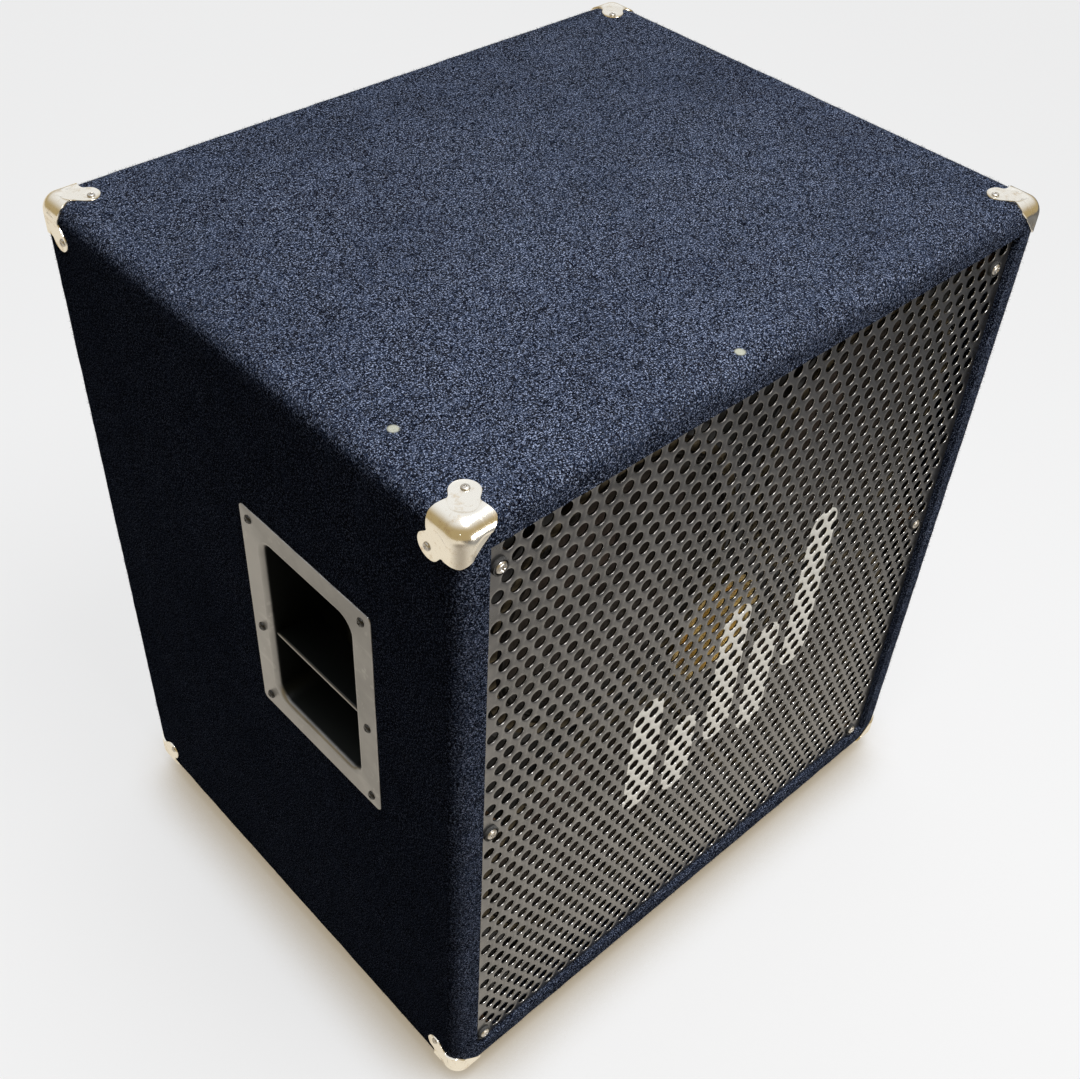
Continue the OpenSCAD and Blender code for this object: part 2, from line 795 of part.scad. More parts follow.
module driver_top_plates() color("silver") {
  on_each_driver() translate([0, 0, motor_z]) difference() {
    cylinder(r = motor_r, h = plate_t);
    translate([0, 0, -over]) cylinder(r = former_r + former_t + winding_t + 0.6, h = plate_t + 2 * over);
  }
}

module driver_magnets() color("darkslategray") {
  on_each_driver() translate([0, 0, motor_z + plate_t]) difference() {
    cylinder(r = magnet_d / 2, h = magnet_t);
    translate([0, 0, -over]) cylinder(r = former_r + 12, h = magnet_t + 2 * over);
  }
}

// The back plate and its pole, with a vent down the middle
module driver_yokes() color("silver") {
  on_each_driver() difference() {
    union() {
      translate([0, 0, motor_z]) cylinder(r = former_r - 0.6, h = plate_t + magnet_t + plate_t);
      translate([0, 0, motor_z + plate_t + magnet_t]) cylinder(r = motor_r, h = plate_t);
    }
    translate([0, 0, motor_z - over]) cylinder(r = 9, h = 60 + magnet_t);
  }
}

module driver_screws() color("black") {
  on_each_driver() driver_screw_ring()
    translate([0, 0, -flange_t]) mirror([0, 0, 1]) screw(4.4, 2.8, driver_screw_r, driver_screw_len);
}

// Drivers: pieces that move with a cone, and the two that flex with it

// The cone's depth at a radius, a shallow curve that steepens to the neck
function cone_z(r) = let (t = (cone_r - r) / (cone_r - former_r))
  cone_edge_z + (neck_z - cone_edge_z) * (0.72 * t + 0.28 * t * t);

module cone_piece() {
  steps = 10;
  step = (cone_r - former_r - former_t) / steps;
  rotate_extrude() polygon(concat(
    [for (i = [0:steps]) [cone_r - i * step, cone_z(cone_r - i * step)]],
    [for (i = [steps:-1:0]) [cone_r - i * step, cone_z(cone_r - i * step) + cone_t]]
  ));
}

// A dome that sits on the cone round its edge
module dust_cap_piece() {
  height = 13;
  ball_r = (dust_r * dust_r + height * height) / (2 * height);
  steps = 8;
  rim_z = cone_z(dust_r);
  function dome_z(r, ball) = rim_z + (ball_r - height) - sqrt(ball * ball - r * r);
  rotate_extrude() polygon(concat(
    [for (i = [0:steps]) [dust_r * i / steps, dome_z(dust_r * i / steps, ball_r)]],
    [for (i = [steps:-1:0]) [(dust_r - cone_t) * i / steps, dome_z((dust_r - cone_t) * i / steps, ball_r - cone_t)]]
  ));
}

// Two rolls of treated cloth between the cone's edge and the frame's rim
module surround_piece() {
  inner = cone_r - 5;
  outer = rim_r - 4.5;
  rim_z = -flange_t - slack - surround_t;
  steps = 16;
  function roll(r) = let (t = (r - cone_r) / (outer - cone_r))
    t <= 0 ? cone_z(r) - surround_t : rim_z * t + (cone_edge_z - surround_t) * (1 - t) - 3.2 * abs(sin(360 * t));
  radii = concat([inner, cone_r], [for (i = [1:steps]) cone_r + (outer - cone_r) * i / steps], [rim_r + 2.5]);
  function line(r) = r > outer ? rim_z : roll(r);
  rotate_extrude() polygon(concat(
    [for (r = radii) [r, line(r)]],
    [for (i = [len(radii) - 1:-1:0]) [radii[i], line(radii[i]) + surround_t - (i < 2 ? 0.02 : 0)]]
  ));
}

// A corrugated cloth disc that centres the coil
module spider_piece() {
  inner = former_r + former_t;
  outer = seat_r - 1;
  steps = 40;
  function wave(r) = spider_z + 1.6 * (r > outer - 5 || r < inner + 3 ? 0 : sin(360 * (r - inner - 3) / 7));
  radii = [for (i = [0:steps]) inner + (outer - inner) * i / steps];
  rotate_extrude() polygon(concat(
    [for (r = radii) [r, wave(r)]],
    [for (i = [steps:-1:0]) [radii[i], wave(radii[i]) + surround_t]]
  ));
}

// The former runs from the cone's neck into the magnet's gap, with the winding at its far end
module coil_piece() {
  tip_z = motor_z + plate_t + 5;
  difference() {
    union() {
      translate([0, 0, neck_z]) cylinder(r = former_r + former_t, h = tip_z - neck_z);
      translate([0, 0, motor_z - 3]) cylinder(r = former_r + former_t + winding_t, h = plate_t + 7);
    }
    translate([0, 0, neck_z - over]) cylinder(r = former_r, h = tip_z - neck_z + 2 * over);
  }
}

module cone_top_left() color("rosybrown") on_baffle(TL) cone_piece();
module cone_top_right() color("rosybrown") on_baffle(TR) cone_piece();
module cone_bottom_left() color("rosybrown") on_baffle(BL) cone_piece();
module cone_bottom_right() color("rosybrown") on_baffle(BR) cone_piece();
module dust_cap_top_left() color("tan") on_baffle(TL) dust_cap_piece();
module dust_cap_top_right() color("tan") on_baffle(TR) dust_cap_piece();
module dust_cap_bottom_left() color("tan") on_baffle(BL) dust_cap_piece();
module dust_cap_bottom_right() color("tan") on_baffle(BR) dust_cap_piece();
module surround_top_left() color("dimgray") on_baffle(TL) surround_piece();
module surround_top_right() color("dimgray") on_baffle(TR) surround_piece();
module surround_bottom_left() color("dimgray") on_baffle(BL) surround_piece();
module surround_bottom_right() color("dimgray") on_baffle(BR) surround_piece();
module spider_top_left() color("peru") on_baffle(TL) spider_piece();
module spider_top_right() color("peru") on_baffle(TR) spider_piece();
module spider_bottom_left() color("peru") on_baffle(BL) spider_piece();
module spider_bottom_right() color("peru") on_baffle(BR) spider_piece();
module coil_top_left() color("chocolate") on_baffle(TL) coil_piece();
module coil_top_right() color("chocolate") on_baffle(TR) coil_piece();
module coil_bottom_left() color("chocolate") on_baffle(BL) coil_piece();
module coil_bottom_right() color("chocolate") on_baffle(BR) coil_piece();

panel_top();
panel_bottom();
panel_left();
panel_right();
panel_back();
baffle();
braces();
grille_blocks();
carpet_wrap();
carpet_back();
wadding();
grille();
grille_screws();
grille_cups();
handle_dish_left();
handle_dish_right();
handle_grip_left();
handle_grip_right();
handle_screws();
corners_top();
corners_bottom();
corner_screws();
feet();
foot_screws();
jack_plate();
jack_sockets();
level_control();
level_shaft();
level_knob();
jack_plate_screws();
crossover();
horn();
horn_driver();
ports();
driver_frames();
driver_gaskets();
driver_magnets();
driver_yokes();
driver_top_plates();
driver_screws();
cone_top_left();
cone_top_right();
cone_bottom_left();
cone_bottom_right();
dust_cap_top_left();
dust_cap_top_right();
dust_cap_bottom_left();
dust_cap_bottom_right();
surround_top_left();
surround_top_right();
surround_bottom_left();
surround_bottom_right();
spider_top_left();
spider_top_right();
spider_bottom_left();
spider_bottom_right();
coil_top_left();
coil_top_right();
coil_bottom_left();
coil_bottom_right();
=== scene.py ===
"""Looks of the carpeted loudspeaker cabinet: pile, perforated grille, pressed protectors and handles.

Metres throughout. X runs to the right as seen from the front, Y from the front to the back, Z up.
"""

import json
import math

import bpy
import numpy as np
from mathutils import Matrix, Vector, noise


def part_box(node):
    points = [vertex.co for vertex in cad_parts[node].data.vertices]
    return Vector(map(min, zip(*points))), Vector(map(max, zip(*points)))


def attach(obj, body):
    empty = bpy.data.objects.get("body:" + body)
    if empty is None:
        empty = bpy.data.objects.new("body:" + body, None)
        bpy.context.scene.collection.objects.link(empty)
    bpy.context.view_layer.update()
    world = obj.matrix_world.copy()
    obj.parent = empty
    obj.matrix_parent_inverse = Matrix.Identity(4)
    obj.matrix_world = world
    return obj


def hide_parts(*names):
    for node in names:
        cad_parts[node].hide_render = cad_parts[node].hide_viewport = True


MM = 0.001

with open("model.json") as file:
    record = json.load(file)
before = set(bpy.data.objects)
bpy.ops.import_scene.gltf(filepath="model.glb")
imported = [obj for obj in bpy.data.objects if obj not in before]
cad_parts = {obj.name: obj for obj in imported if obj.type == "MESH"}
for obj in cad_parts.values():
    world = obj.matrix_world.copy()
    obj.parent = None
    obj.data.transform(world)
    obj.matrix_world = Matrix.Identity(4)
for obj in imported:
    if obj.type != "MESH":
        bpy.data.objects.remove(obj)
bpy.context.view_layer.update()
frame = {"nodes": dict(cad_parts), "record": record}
record = frame["record"]
slot_of = {part["node"]: part["material_slot"] for part in record["subparts"]}

# ---------------------------------------------------------------- places taken from the frame

wrap_low, wrap_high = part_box("carpet_wrap")
grille_low, grille_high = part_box("grille")
baffle_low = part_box("baffle")[0]
seam_low, seam_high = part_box("carpet_back")

EDGE_R = 12 * MM  # radius of the carpeted edges
CARPET_T = 2.5 * MM
LIP = 23 * MM  # width of the front lip
STRAP_START = 27 * MM  # where the flat strap's round inner end is centred
REACH = 29 * MM  # reach of a corner protector along an edge
EAR_AT = 27.5 * MM  # an ear's screw, from both edges
EAR_R = 9.5 * MM
EAR_MIDDLE = 36 * MM  # centre of an ear's round end, from the corner
HANDLE_PROUD = 0.8 * MM


# ---------------------------------------------------------------- shader helpers


class Tree:
    """A node tree with short ways to add nodes and join them."""

    def __init__(self, tree):
        self.tree = tree

    def add(self, kind, values=None, **settings):
        node = self.tree.nodes.new(kind)
        for name, value in settings.items():
            setattr(node, name, value)
        for name, value in (values or {}).items():
            self.feed(node, name, value)
        return node

    def feed(self, node, name, value):
        """Joins an output to a node's input, or sets the input's value."""
        if isinstance(value, bpy.types.NodeSocket):
            self.tree.links.new(value, node.inputs[name])
        else:
            node.inputs[name].default_value = value

    def math(self, operation, a, b=0.0, clamp=False):
        node = self.add("ShaderNodeMath", {0: a, 1: b}, operation=operation, use_clamp=clamp)
        return node.outputs[0]

    def plus(self, a, b, clamp=False):
        return self.math("ADD", a, b, clamp)

    def minus(self, a, b, clamp=False):
        return self.math("SUBTRACT", a, b, clamp)

    def times(self, a, b, clamp=False):
        return self.math("MULTIPLY", a, b, clamp)

    def vector(self, operation, a, b=(0.0, 0.0, 0.0), output="Vector"):
        return self.add("ShaderNodeVectorMath", {0: a, 1: b}, operation=operation).outputs[output]

    def mix(self, factor, a, b):
        """Colour a where the factor is 0, colour b where it is 1."""
        return self.add("ShaderNodeMix", {0: factor, 6: a, 7: b}, data_type="RGBA").outputs[2]

    def ramp(self, factor, low, high):
        """0 below low, 1 above high."""
        limits = {"Value": factor, "From Min": low, "From Max": high}
        return self.add("ShaderNodeMapRange", limits, interpolation_type="SMOOTHSTEP").outputs[0]

    def noise(self, vector, scale, detail=2.0, rough=0.5):
        values = {"Vector": vector, "Scale": scale, "Detail": detail, "Roughness": rough}
        return self.add("ShaderNodeTexNoise", values).outputs[0]

    def stretched(self, vector, scale):
        return self.add("ShaderNodeMapping", {"Vector": vector, "Scale": scale}).outputs[0]

    def place(self):
        return self.add("ShaderNodeTexCoord").outputs["Object"]

    def surface(self, value):
        """What the shaded point itself is like: its Normal, Pointiness and so on."""
        return self.add("ShaderNodeNewGeometry").outputs[value]

    def split(self, vector):
        """The X, Y and Z outputs of a vector."""
        return self.add("ShaderNodeSeparateXYZ", {0: vector}).outputs


def rgb(r, g, b):
    return (r, g, b, 1.0)


def shared_effect(name, inputs, outputs):
    """A node group with named sockets, ready to be filled in."""
    group = bpy.data.node_groups.new(name, "ShaderNodeTree")
    for label, kind, value in inputs:
        socket = group.interface.new_socket(name=label, in_out="INPUT", socket_type=kind)
        socket.default_value = value
    for label, kind in outputs:
        group.interface.new_socket(name=label, in_out="OUTPUT", socket_type=kind)
    tree = Tree(group)
    given = tree.add("NodeGroupInput").outputs
    result = tree.add("NodeGroupOutput")
    return group, tree, given, result


FLOAT = "NodeSocketFloat"
COLOR = "NodeSocketColor"


def make_pile_effect():
    """Short matted fibres: salt-and-pepper colour and a rough height."""
    group, t, given, result = shared_effect(
        "pile",
        [
            ("Dark", COLOR, rgb(0.004, 0.005, 0.010)),
            ("Middle", COLOR, rgb(0.016, 0.020, 0.036)),
            ("Light", COLOR, rgb(0.10, 0.12, 0.17)),
            ("Scale", FLOAT, 1.0),
        ],
        [("Color", COLOR), ("Height", FLOAT)],
    )
    place = t.place()
    scale = given["Scale"]
    strands = t.noise(place, t.times(scale, 740.0), 2.0, 0.75)
    flecks = t.noise(place, t.times(scale, 1000.0), 1.0, 0.5)
    patches = t.noise(place, t.times(scale, 60.0), 3.0, 0.6)
    clouds = t.noise(place, t.times(scale, 9.0), 2.0, 0.5)
    body = t.plus(t.times(strands, 0.8), t.times(patches, 0.2))
    base = t.mix(t.ramp(body, 0.45, 0.56), given["Dark"], given["Middle"])
    bright = t.times(t.ramp(flecks, 0.50, 0.60), t.ramp(strands, 0.46, 0.58))
    bright = t.times(bright, t.plus(t.times(clouds, 0.9), 0.4), clamp=True)
    t.feed(result, "Color", t.mix(bright, base, given["Light"]))
    t.feed(result, "Height", t.plus(body, t.times(flecks, 0.25)))
    return group


def make_wear_effect():
    """Bare edges: a mask of the sharp outer edges, broken up by noise."""
    group, t, given, result = shared_effect(
        "edge_wear", [("Amount", FLOAT, 0.5), ("Scale", FLOAT, 60.0)], [("Mask", FLOAT)]
    )
    edge = t.ramp(t.surface("Pointiness"), 0.51, 0.60)
    rough = t.noise(t.place(), given["Scale"], 4.0, 0.7)
    mask = t.times(edge, t.ramp(rough, 0.35, 0.65))
    t.feed(result, "Mask", t.times(mask, given["Amount"], clamp=True))
    return group


def make_dust_effect():
    """Fine dust that settles on what faces up."""
    group, t, given, result = shared_effect(
        "dust", [("Amount", FLOAT, 0.3), ("Scale", FLOAT, 90.0)], [("Mask", FLOAT)]
    )
    normal = t.surface("Normal")
    up = t.ramp(t.split(normal)["Z"], 0.1, 0.95)
    grains = t.noise(t.place(), given["Scale"], 5.0, 0.75)
    film = t.plus(t.times(up, 0.75), 0.25)
    mask = t.times(film, t.ramp(grains, 0.38, 0.75))
    t.feed(result, "Mask", t.times(mask, given["Amount"], clamp=True))
    return group


def make_scratch_effect():
    """Hairline scratches in two directions."""
    group, t, given, result = shared_effect(
        "hairlines", [("Amount", FLOAT, 0.5), ("Scale", FLOAT, 120.0)], [("Mask", FLOAT)]
    )
    place = t.place()
    lines = []
    for stretch in ((1.0, 0.06, 0.5), (0.07, 1.0, 0.9)):
        grain = t.noise(t.stretched(place, stretch), given["Scale"], 3.0, 0.6)
        lines.append(t.ramp(grain, 0.60, 0.66))
    mask = t.math("MAXIMUM", lines[0], lines[1])
    mask = t.times(mask, t.ramp(t.noise(place, 25.0, 2.0), 0.40, 0.62))
    t.feed(result, "Mask", t.times(mask, given["Amount"], clamp=True))
    return group


def make_skin_effect():
    """The faint orange peel of a sprayed or moulded skin."""
    group, t, given, result = shared_effect(
        "skin", [("Scale", FLOAT, 700.0)], [("Height", FLOAT), ("Tone", FLOAT)]
    )
    place = t.place()
    fine = t.noise(place, given["Scale"], 2.0, 0.5)
    broad = t.noise(place, 22.0, 3.0, 0.6)
    t.feed(result, "Height", fine)
    t.feed(result, "Tone", broad)
    return group


def make_grain_effect():
    """Long wood grain that runs along X."""
    group, t, given, result = shared_effect(
        "wood_grain", [("Pale", COLOR, rgb(0.7, 0.5, 0.3)), ("Deep", COLOR, rgb(0.4, 0.25, 0.12))],
        [("Color", COLOR), ("Height", FLOAT)],
    )
    place = t.stretched(t.place(), (3.0, 60.0, 60.0))
    bands = t.noise(place, 1.4, 5.0, 0.6)
    pores = t.noise(t.stretched(t.place(), (25.0, 700.0, 700.0)), 1.0, 2.0, 0.5)
    figure = t.plus(t.times(bands, 0.75), t.times(pores, 0.25))
    t.feed(result, "Color", t.mix(t.ramp(figure, 0.35, 0.65), given["Pale"], given["Deep"]))
    t.feed(result, "Height", figure)
    return group


PILE = make_pile_effect()
WEAR = make_wear_effect()
DUST = make_dust_effect()
HAIRLINES = make_scratch_effect()
SKIN = make_skin_effect()
GRAIN = make_grain_effect()


# ---------------------------------------------------------------- materials


def new_material(name, metallic=0.0, roughness=0.5, **sockets):
    """A material's tree and its shader. Even values sit on the shader's own sockets."""
    material = bpy.data.materials.new(name)
    material.use_nodes = True
    tree = Tree(material.node_tree)
    shader = material.node_tree.nodes["Principled BSDF"]
    shader.inputs["Metallic"].default_value = metallic
    shader.inputs["Roughness"].default_value = roughness
    for label, value in sockets.items():
        shader.inputs[label.replace("_", " ")].default_value = value
    return material, tree, shader


def effect(tree, group, **values):
    """The outputs of a shared effect, with these inputs in place of its own."""
    return tree.add("ShaderNodeGroup", values, node_tree=group).outputs


def bump(tree, shader, height, strength, distance):
    """Turns a height into the shader's normal."""
    node = tree.add("ShaderNodeBump", {"Height": height, "Strength": strength, "Distance": distance})
    tree.feed(shader, "Normal", node.outputs["Normal"])


def make_carpet(name, dark, middle, light):
    """Matted pile with a little dust, rubbed through in two spots."""
    material, t, shader = new_material(
        name, roughness=0.95, Sheen_Weight=0.03, Sheen_Roughness=0.5, Specular_IOR_Level=0.0
    )
    shader.inputs["Sheen Tint"].default_value = rgb(0.62, 0.70, 0.95)
    pile = effect(t, PILE, Dark=dark, Middle=middle, Light=light)
    color = pile["Color"]
    for spot in RUBBED_SPOTS:
        away = t.vector("DISTANCE", t.place(), spot, "Value")
        rubbed = t.minus(1.0, t.ramp(away, 2.6 * MM, 4.4 * MM), clamp=True)
        color = t.mix(t.times(rubbed, 0.8), color, rgb(0.50, 0.50, 0.40))
    dust = effect(t, DUST, Amount=0.06, Scale=260.0)
    color = t.mix(dust["Mask"], color, rgb(0.30, 0.33, 0.40))
    t.feed(shader, "Base Color", color)
    bump(t, shader, pile["Height"], 0.9, 1.2 * MM)
    return material


def make_coat(name, color, roughness, worn, peel=0.12, dust=0.15, wear=0.4, scratches=0.3, metallic=0.0):
    """Satin coat over steel, worn along its edges."""
    material, t, shader = new_material(name, metallic, roughness, Specular_IOR_Level=0.5)
    skin = effect(t, SKIN)
    wear_mask = effect(t, WEAR, Amount=wear)["Mask"]
    lines = effect(t, HAIRLINES, Amount=scratches)["Mask"]
    dusty = effect(t, DUST, Amount=dust)["Mask"]
    deep = tuple(0.72 * c for c in color[:3]) + (1.0,)
    tone = t.mix(t.ramp(skin["Tone"], 0.3, 0.7), deep, color)
    tone = t.mix(t.math("MAXIMUM", wear_mask, t.times(lines, 0.5)), tone, worn)
    t.feed(shader, "Base Color", t.mix(dusty, tone, rgb(0.42, 0.40, 0.37)))
    shine = t.plus(roughness - 0.05, t.times(skin["Tone"], 0.1))
    shine = t.plus(shine, t.times(dusty, 0.3), clamp=True)
    t.feed(shader, "Roughness", shine)
    bump(t, shader, skin["Height"], peel, 0.15 * MM)
    return material, t, shader


def make_bright_metal(name, color, tarnish, roughness, scratches=0.5):
    """Plated or bare metal, scratched and tarnished in patches."""
    material, t, shader = new_material(name, metallic=1.0, roughness=roughness)
    skin = effect(t, SKIN, Scale=240.0)
    lines = effect(t, HAIRLINES, Amount=scratches, Scale=260.0)["Mask"]
    stain = t.ramp(t.noise(t.place(), 140.0, 4.0, 0.7), 0.52, 0.72)
    tone = t.mix(t.times(stain, 0.6), color, tarnish)
    t.feed(shader, "Base Color", t.mix(t.times(lines, 0.5), tone, rgb(0.9, 0.88, 0.85)))
    rough = t.plus(roughness, t.times(lines, 0.25))
    t.feed(shader, "Roughness", t.plus(rough, t.times(stain, 0.18), clamp=True))
    bump(t, shader, skin["Height"], 0.08, 0.2 * MM)
    return material


def make_moulded(name, color, roughness, worn=rgb(0.16, 0.16, 0.16), grain=0.2):
    """Rubber or plastic with a fine moulded skin and scuffed edges."""
    material, t, shader = new_material(name, roughness=roughness, Specular_IOR_Level=0.4)
    skin = effect(t, SKIN, Scale=900.0)
    wear_mask = effect(t, WEAR, Amount=0.5)["Mask"]
    dusty = effect(t, DUST, Amount=0.25)["Mask"]
    deep = tuple(0.65 * c for c in color[:3]) + (1.0,)
    tone = t.mix(t.ramp(skin["Tone"], 0.3, 0.7), deep, color)
    tone = t.mix(wear_mask, tone, worn)
    t.feed(shader, "Base Color", t.mix(dusty, tone, rgb(0.35, 0.34, 0.32)))
    t.feed(shader, "Roughness", t.plus(roughness - 0.08, t.times(skin["Tone"], 0.16)))
    bump(t, shader, skin["Height"], grain, 0.2 * MM)
    return material


def make_wood(name, pale, deep, roughness=0.6):
    """Wood or plywood with its grain along X."""
    material, t, shader = new_material(name, roughness=roughness)
    grain = effect(t, GRAIN, Pale=pale, Deep=deep)
    t.feed(shader, "Base Color", grain["Color"])
    bump(t, shader, grain["Height"], 0.3, 0.3 * MM)
    return material


def make_pulp(name, pale, deep, ring_scale, roughness=0.85):
    """Pressed pulp or treated cloth, with rings round the piece's middle."""
    material, t, shader = new_material(name, roughness=roughness, Specular_IOR_Level=0.25)
    box_place = t.add("ShaderNodeTexCoord").outputs["Generated"]
    centred = t.vector("SUBTRACT", box_place, (0.5, 0.5, 0.5))
    flat = t.vector("MULTIPLY", centred, (1.0, 0.0, 1.0))
    radius = t.vector("LENGTH", flat, output="Value")
    rings = t.math("SINE", t.times(radius, ring_scale))
    felt = t.noise(t.place(), 500.0, 4.0, 0.7)
    cloud = t.noise(t.place(), 35.0, 3.0, 0.6)
    figure = t.plus(t.times(felt, 0.5), t.times(cloud, 0.5))
    dusty = effect(t, DUST, Amount=0.35)["Mask"]
    tone = t.mix(t.ramp(figure, 0.35, 0.65), deep, pale)
    t.feed(shader, "Base Color", t.mix(dusty, tone, rgb(0.45, 0.42, 0.38)))
    height = t.plus(t.times(rings, 0.5), t.times(felt, 0.4))
    bump(t, shader, height, 0.35, 0.5 * MM)
    return material


def make_grille_coat():
    """Powder coat with a generic row of rounded level bars sprayed on in off-white; a painted highlight on
    the holes' rolled rims, and painted shade in the holes and on the back.
    """
    material, t, shader = make_coat(
        "grille_coat", rgb(0.165, 0.165, 0.17), 0.28, rgb(0.34, 0.33, 0.32),
        peel=0.25, dust=0.10, metallic=0.95,
    )
    place = t.split(t.place())
    paint = None
    for x, low, high, width in LEVEL_BARS:
        middle = 0.5 * (low + high)
        half = 0.5 * (high - low) - 0.5 * width
        across = t.math("ABSOLUTE", t.minus(place["X"], x))
        along = t.minus(t.math("ABSOLUTE", t.minus(place["Z"], middle)), half)
        along = t.math("MAXIMUM", along, 0.0)
        away = t.math("SQRT", t.plus(t.math("POWER", across, 2.0), t.math("POWER", along, 2.0)))
        past_edge = t.ramp(away, 0.5 * width - 0.4 * MM, 0.5 * width + 0.4 * MM)
        bar = t.minus(1.0, past_edge, clamp=True)
        paint = bar if paint is None else t.math("MAXIMUM", paint, bar)
    facing = t.split(t.surface("Normal"))["Y"]
    paint = t.times(paint, t.ramp(t.times(facing, -1.0), 0.15, 0.55))
    thin = t.ramp(t.noise(t.place(), 160.0, 4.0, 0.7), 0.22, 0.42)
    paint = t.times(paint, t.plus(t.times(thin, 0.35), 0.65))
    coat = shader.inputs["Base Color"].links[0].from_socket
    # painted highlight: the roll-over round a hole is made paler as if lit; painted shade: the holes' walls
    # and the sheet's back are made near black
    flat = t.ramp(t.math("ABSOLUTE", facing), 0.45, 0.97)
    rolled = t.times(t.minus(1.0, flat), 0.75)
    coat = t.mix(rolled, coat, rgb(0.78, 0.76, 0.73))
    # painted shade: behind the roll-over, the holes' walls and the back skin are coloured near black
    painted_wall_shade = t.ramp(t.minus(place["Y"], grille_low.y), 0.45 * MM, 0.70 * MM)
    coat = t.mix(painted_wall_shade, coat, rgb(0.020, 0.019, 0.018))
    t.feed(shader, "Base Color", t.mix(paint, coat, rgb(0.93, 0.91, 0.84)))
    t.feed(shader, "Metallic", t.times(t.minus(1.0, paint), 0.95))
    return material


def make_handle_coat():
    """The handle's coat: grey where it is handled and lit, and a painted shade makes it near black down in
    the dish.
    """
    material, t, shader = make_coat(
        "handle_coat", rgb(0.33, 0.325, 0.32), 0.33, rgb(0.75, 0.74, 0.72),
        dust=0.06, wear=0.7, metallic=0.75,
    )
    place = t.split(t.place())
    side_depth = t.minus(wrap_high.x + HANDLE_PROUD, t.math("ABSOLUTE", place["X"]))
    back_depth = t.minus(wrap_high.y + HANDLE_PROUD, place["Y"])
    depth = t.math("MINIMUM", side_depth, back_depth)
    # painted shade: the coat darkens with depth below the flange, in the handle dishes and the jack plate's
    # dish, but not on the grip's nose
    inside = t.ramp(depth, 1.2 * MM, 4.5 * MM)
    sideways = t.split(t.surface("Normal"))["X"]
    nose = t.times(t.ramp(t.math("ABSOLUTE", sideways), 0.55, 0.9), t.ramp(depth, 14 * MM, 8 * MM))
    inside = t.minus(inside, nose, clamp=True)
    coat = shader.inputs["Base Color"].links[0].from_socket
    t.feed(shader, "Base Color", t.mix(inside, coat, rgb(0.014, 0.017, 0.016)))
    t.feed(shader, "Metallic", t.times(t.minus(1.0, inside), 0.75))
    return material


LEVEL_BARS = []
for i, (low, high) in enumerate(((222, 352), (208, 296), (236, 392), (214, 340), (262, 438))):
    LEVEL_BARS.append(((-92 + 46 * i) * MM, low * MM, high * MM, 33 * MM))

RUBBED_SPOTS = [
    (wrap_low.x + 29 * MM, wrap_low.y + 93 * MM, wrap_high.z),
    (wrap_low.x + 243 * MM, wrap_low.y + 16 * MM, wrap_high.z),
]

MATERIALS = {
    "carpet": make_carpet(
        "carpet", rgb(0.0015, 0.002, 0.005), rgb(0.021, 0.031, 0.059), rgb(0.31, 0.36, 0.50)
    ),
    "grille_coat": make_grille_coat(),
    "handle_coat": make_handle_coat(),
    "frame_steel": make_coat("frame_steel", rgb(0.03, 0.03, 0.03), 0.5, rgb(0.2, 0.2, 0.2))[0],
    "black_screw": make_coat(
        "black_screw", rgb(0.010, 0.010, 0.011), 0.22, rgb(0.20, 0.19, 0.18), dust=0.03, wear=0.5
    )[0],
    "black_cast": make_coat("black_cast", rgb(0.03, 0.03, 0.03), 0.6, rgb(0.15, 0.15, 0.15), peel=0.5)[0],
    "nickel": make_bright_metal("nickel", rgb(0.86, 0.82, 0.73), rgb(0.56, 0.43, 0.27), 0.17),
    "screw_steel": make_bright_metal("screw_steel", rgb(0.52, 0.50, 0.47), rgb(0.26, 0.23, 0.19), 0.32),
    "plated_steel": make_bright_metal("plated_steel", rgb(0.55, 0.54, 0.50), rgb(0.35, 0.33, 0.25), 0.35),
    "gold_metal": make_bright_metal("gold_metal", rgb(0.86, 0.62, 0.24), rgb(0.50, 0.32, 0.10), 0.26),
    "coil_copper": make_bright_metal("coil_copper", rgb(0.72, 0.36, 0.18), rgb(0.30, 0.14, 0.08), 0.3),
    "cup_rubber": make_moulded("cup_rubber", rgb(0.018, 0.018, 0.018), 0.7),
    "foot_rubber": make_moulded("foot_rubber", rgb(0.022, 0.022, 0.022), 0.75, grain=0.5),
    "black_nylon": make_moulded("black_nylon", rgb(0.02, 0.02, 0.021), 0.42),
    "black_plastic": make_moulded("black_plastic", rgb(0.03, 0.03, 0.03), 0.38, worn=rgb(0.4, 0.38, 0.35)),
    "circuit_board": make_moulded("circuit_board", rgb(0.05, 0.15, 0.07), 0.45),
    "ferrite": make_moulded("ferrite", rgb(0.06, 0.06, 0.065), 0.55),
    "plywood": make_wood("plywood", rgb(0.66, 0.48, 0.29), rgb(0.45, 0.29, 0.15)),
    "painted_ply": make_wood("painted_ply", rgb(0.020, 0.019, 0.018), rgb(0.008, 0.008, 0.008), 0.75),
    "hardwood": make_wood("hardwood", rgb(0.28, 0.16, 0.08), rgb(0.13, 0.07, 0.035)),
    "wadding": make_carpet("wadding", rgb(0.55, 0.54, 0.50), rgb(0.72, 0.71, 0.67), rgb(0.92, 0.91, 0.88)),
    "pressed_board": make_pulp("pressed_board", rgb(0.17, 0.135, 0.08), rgb(0.09, 0.07, 0.04), 90.0),
    "cone_paper": make_pulp("cone_paper", rgb(0.075, 0.058, 0.046), rgb(0.036, 0.029, 0.024), 260.0),
    "cap_paper": make_pulp("cap_paper", rgb(0.14, 0.105, 0.085), rgb(0.08, 0.06, 0.05), 30.0),
    "surround_cloth": make_pulp(
        "surround_cloth", rgb(0.035, 0.03, 0.026), rgb(0.018, 0.016, 0.014), 400.0, 0.6
    ),
    "spider_cloth": make_pulp("spider_cloth", rgb(0.50, 0.35, 0.18), rgb(0.32, 0.21, 0.10), 200.0),
}


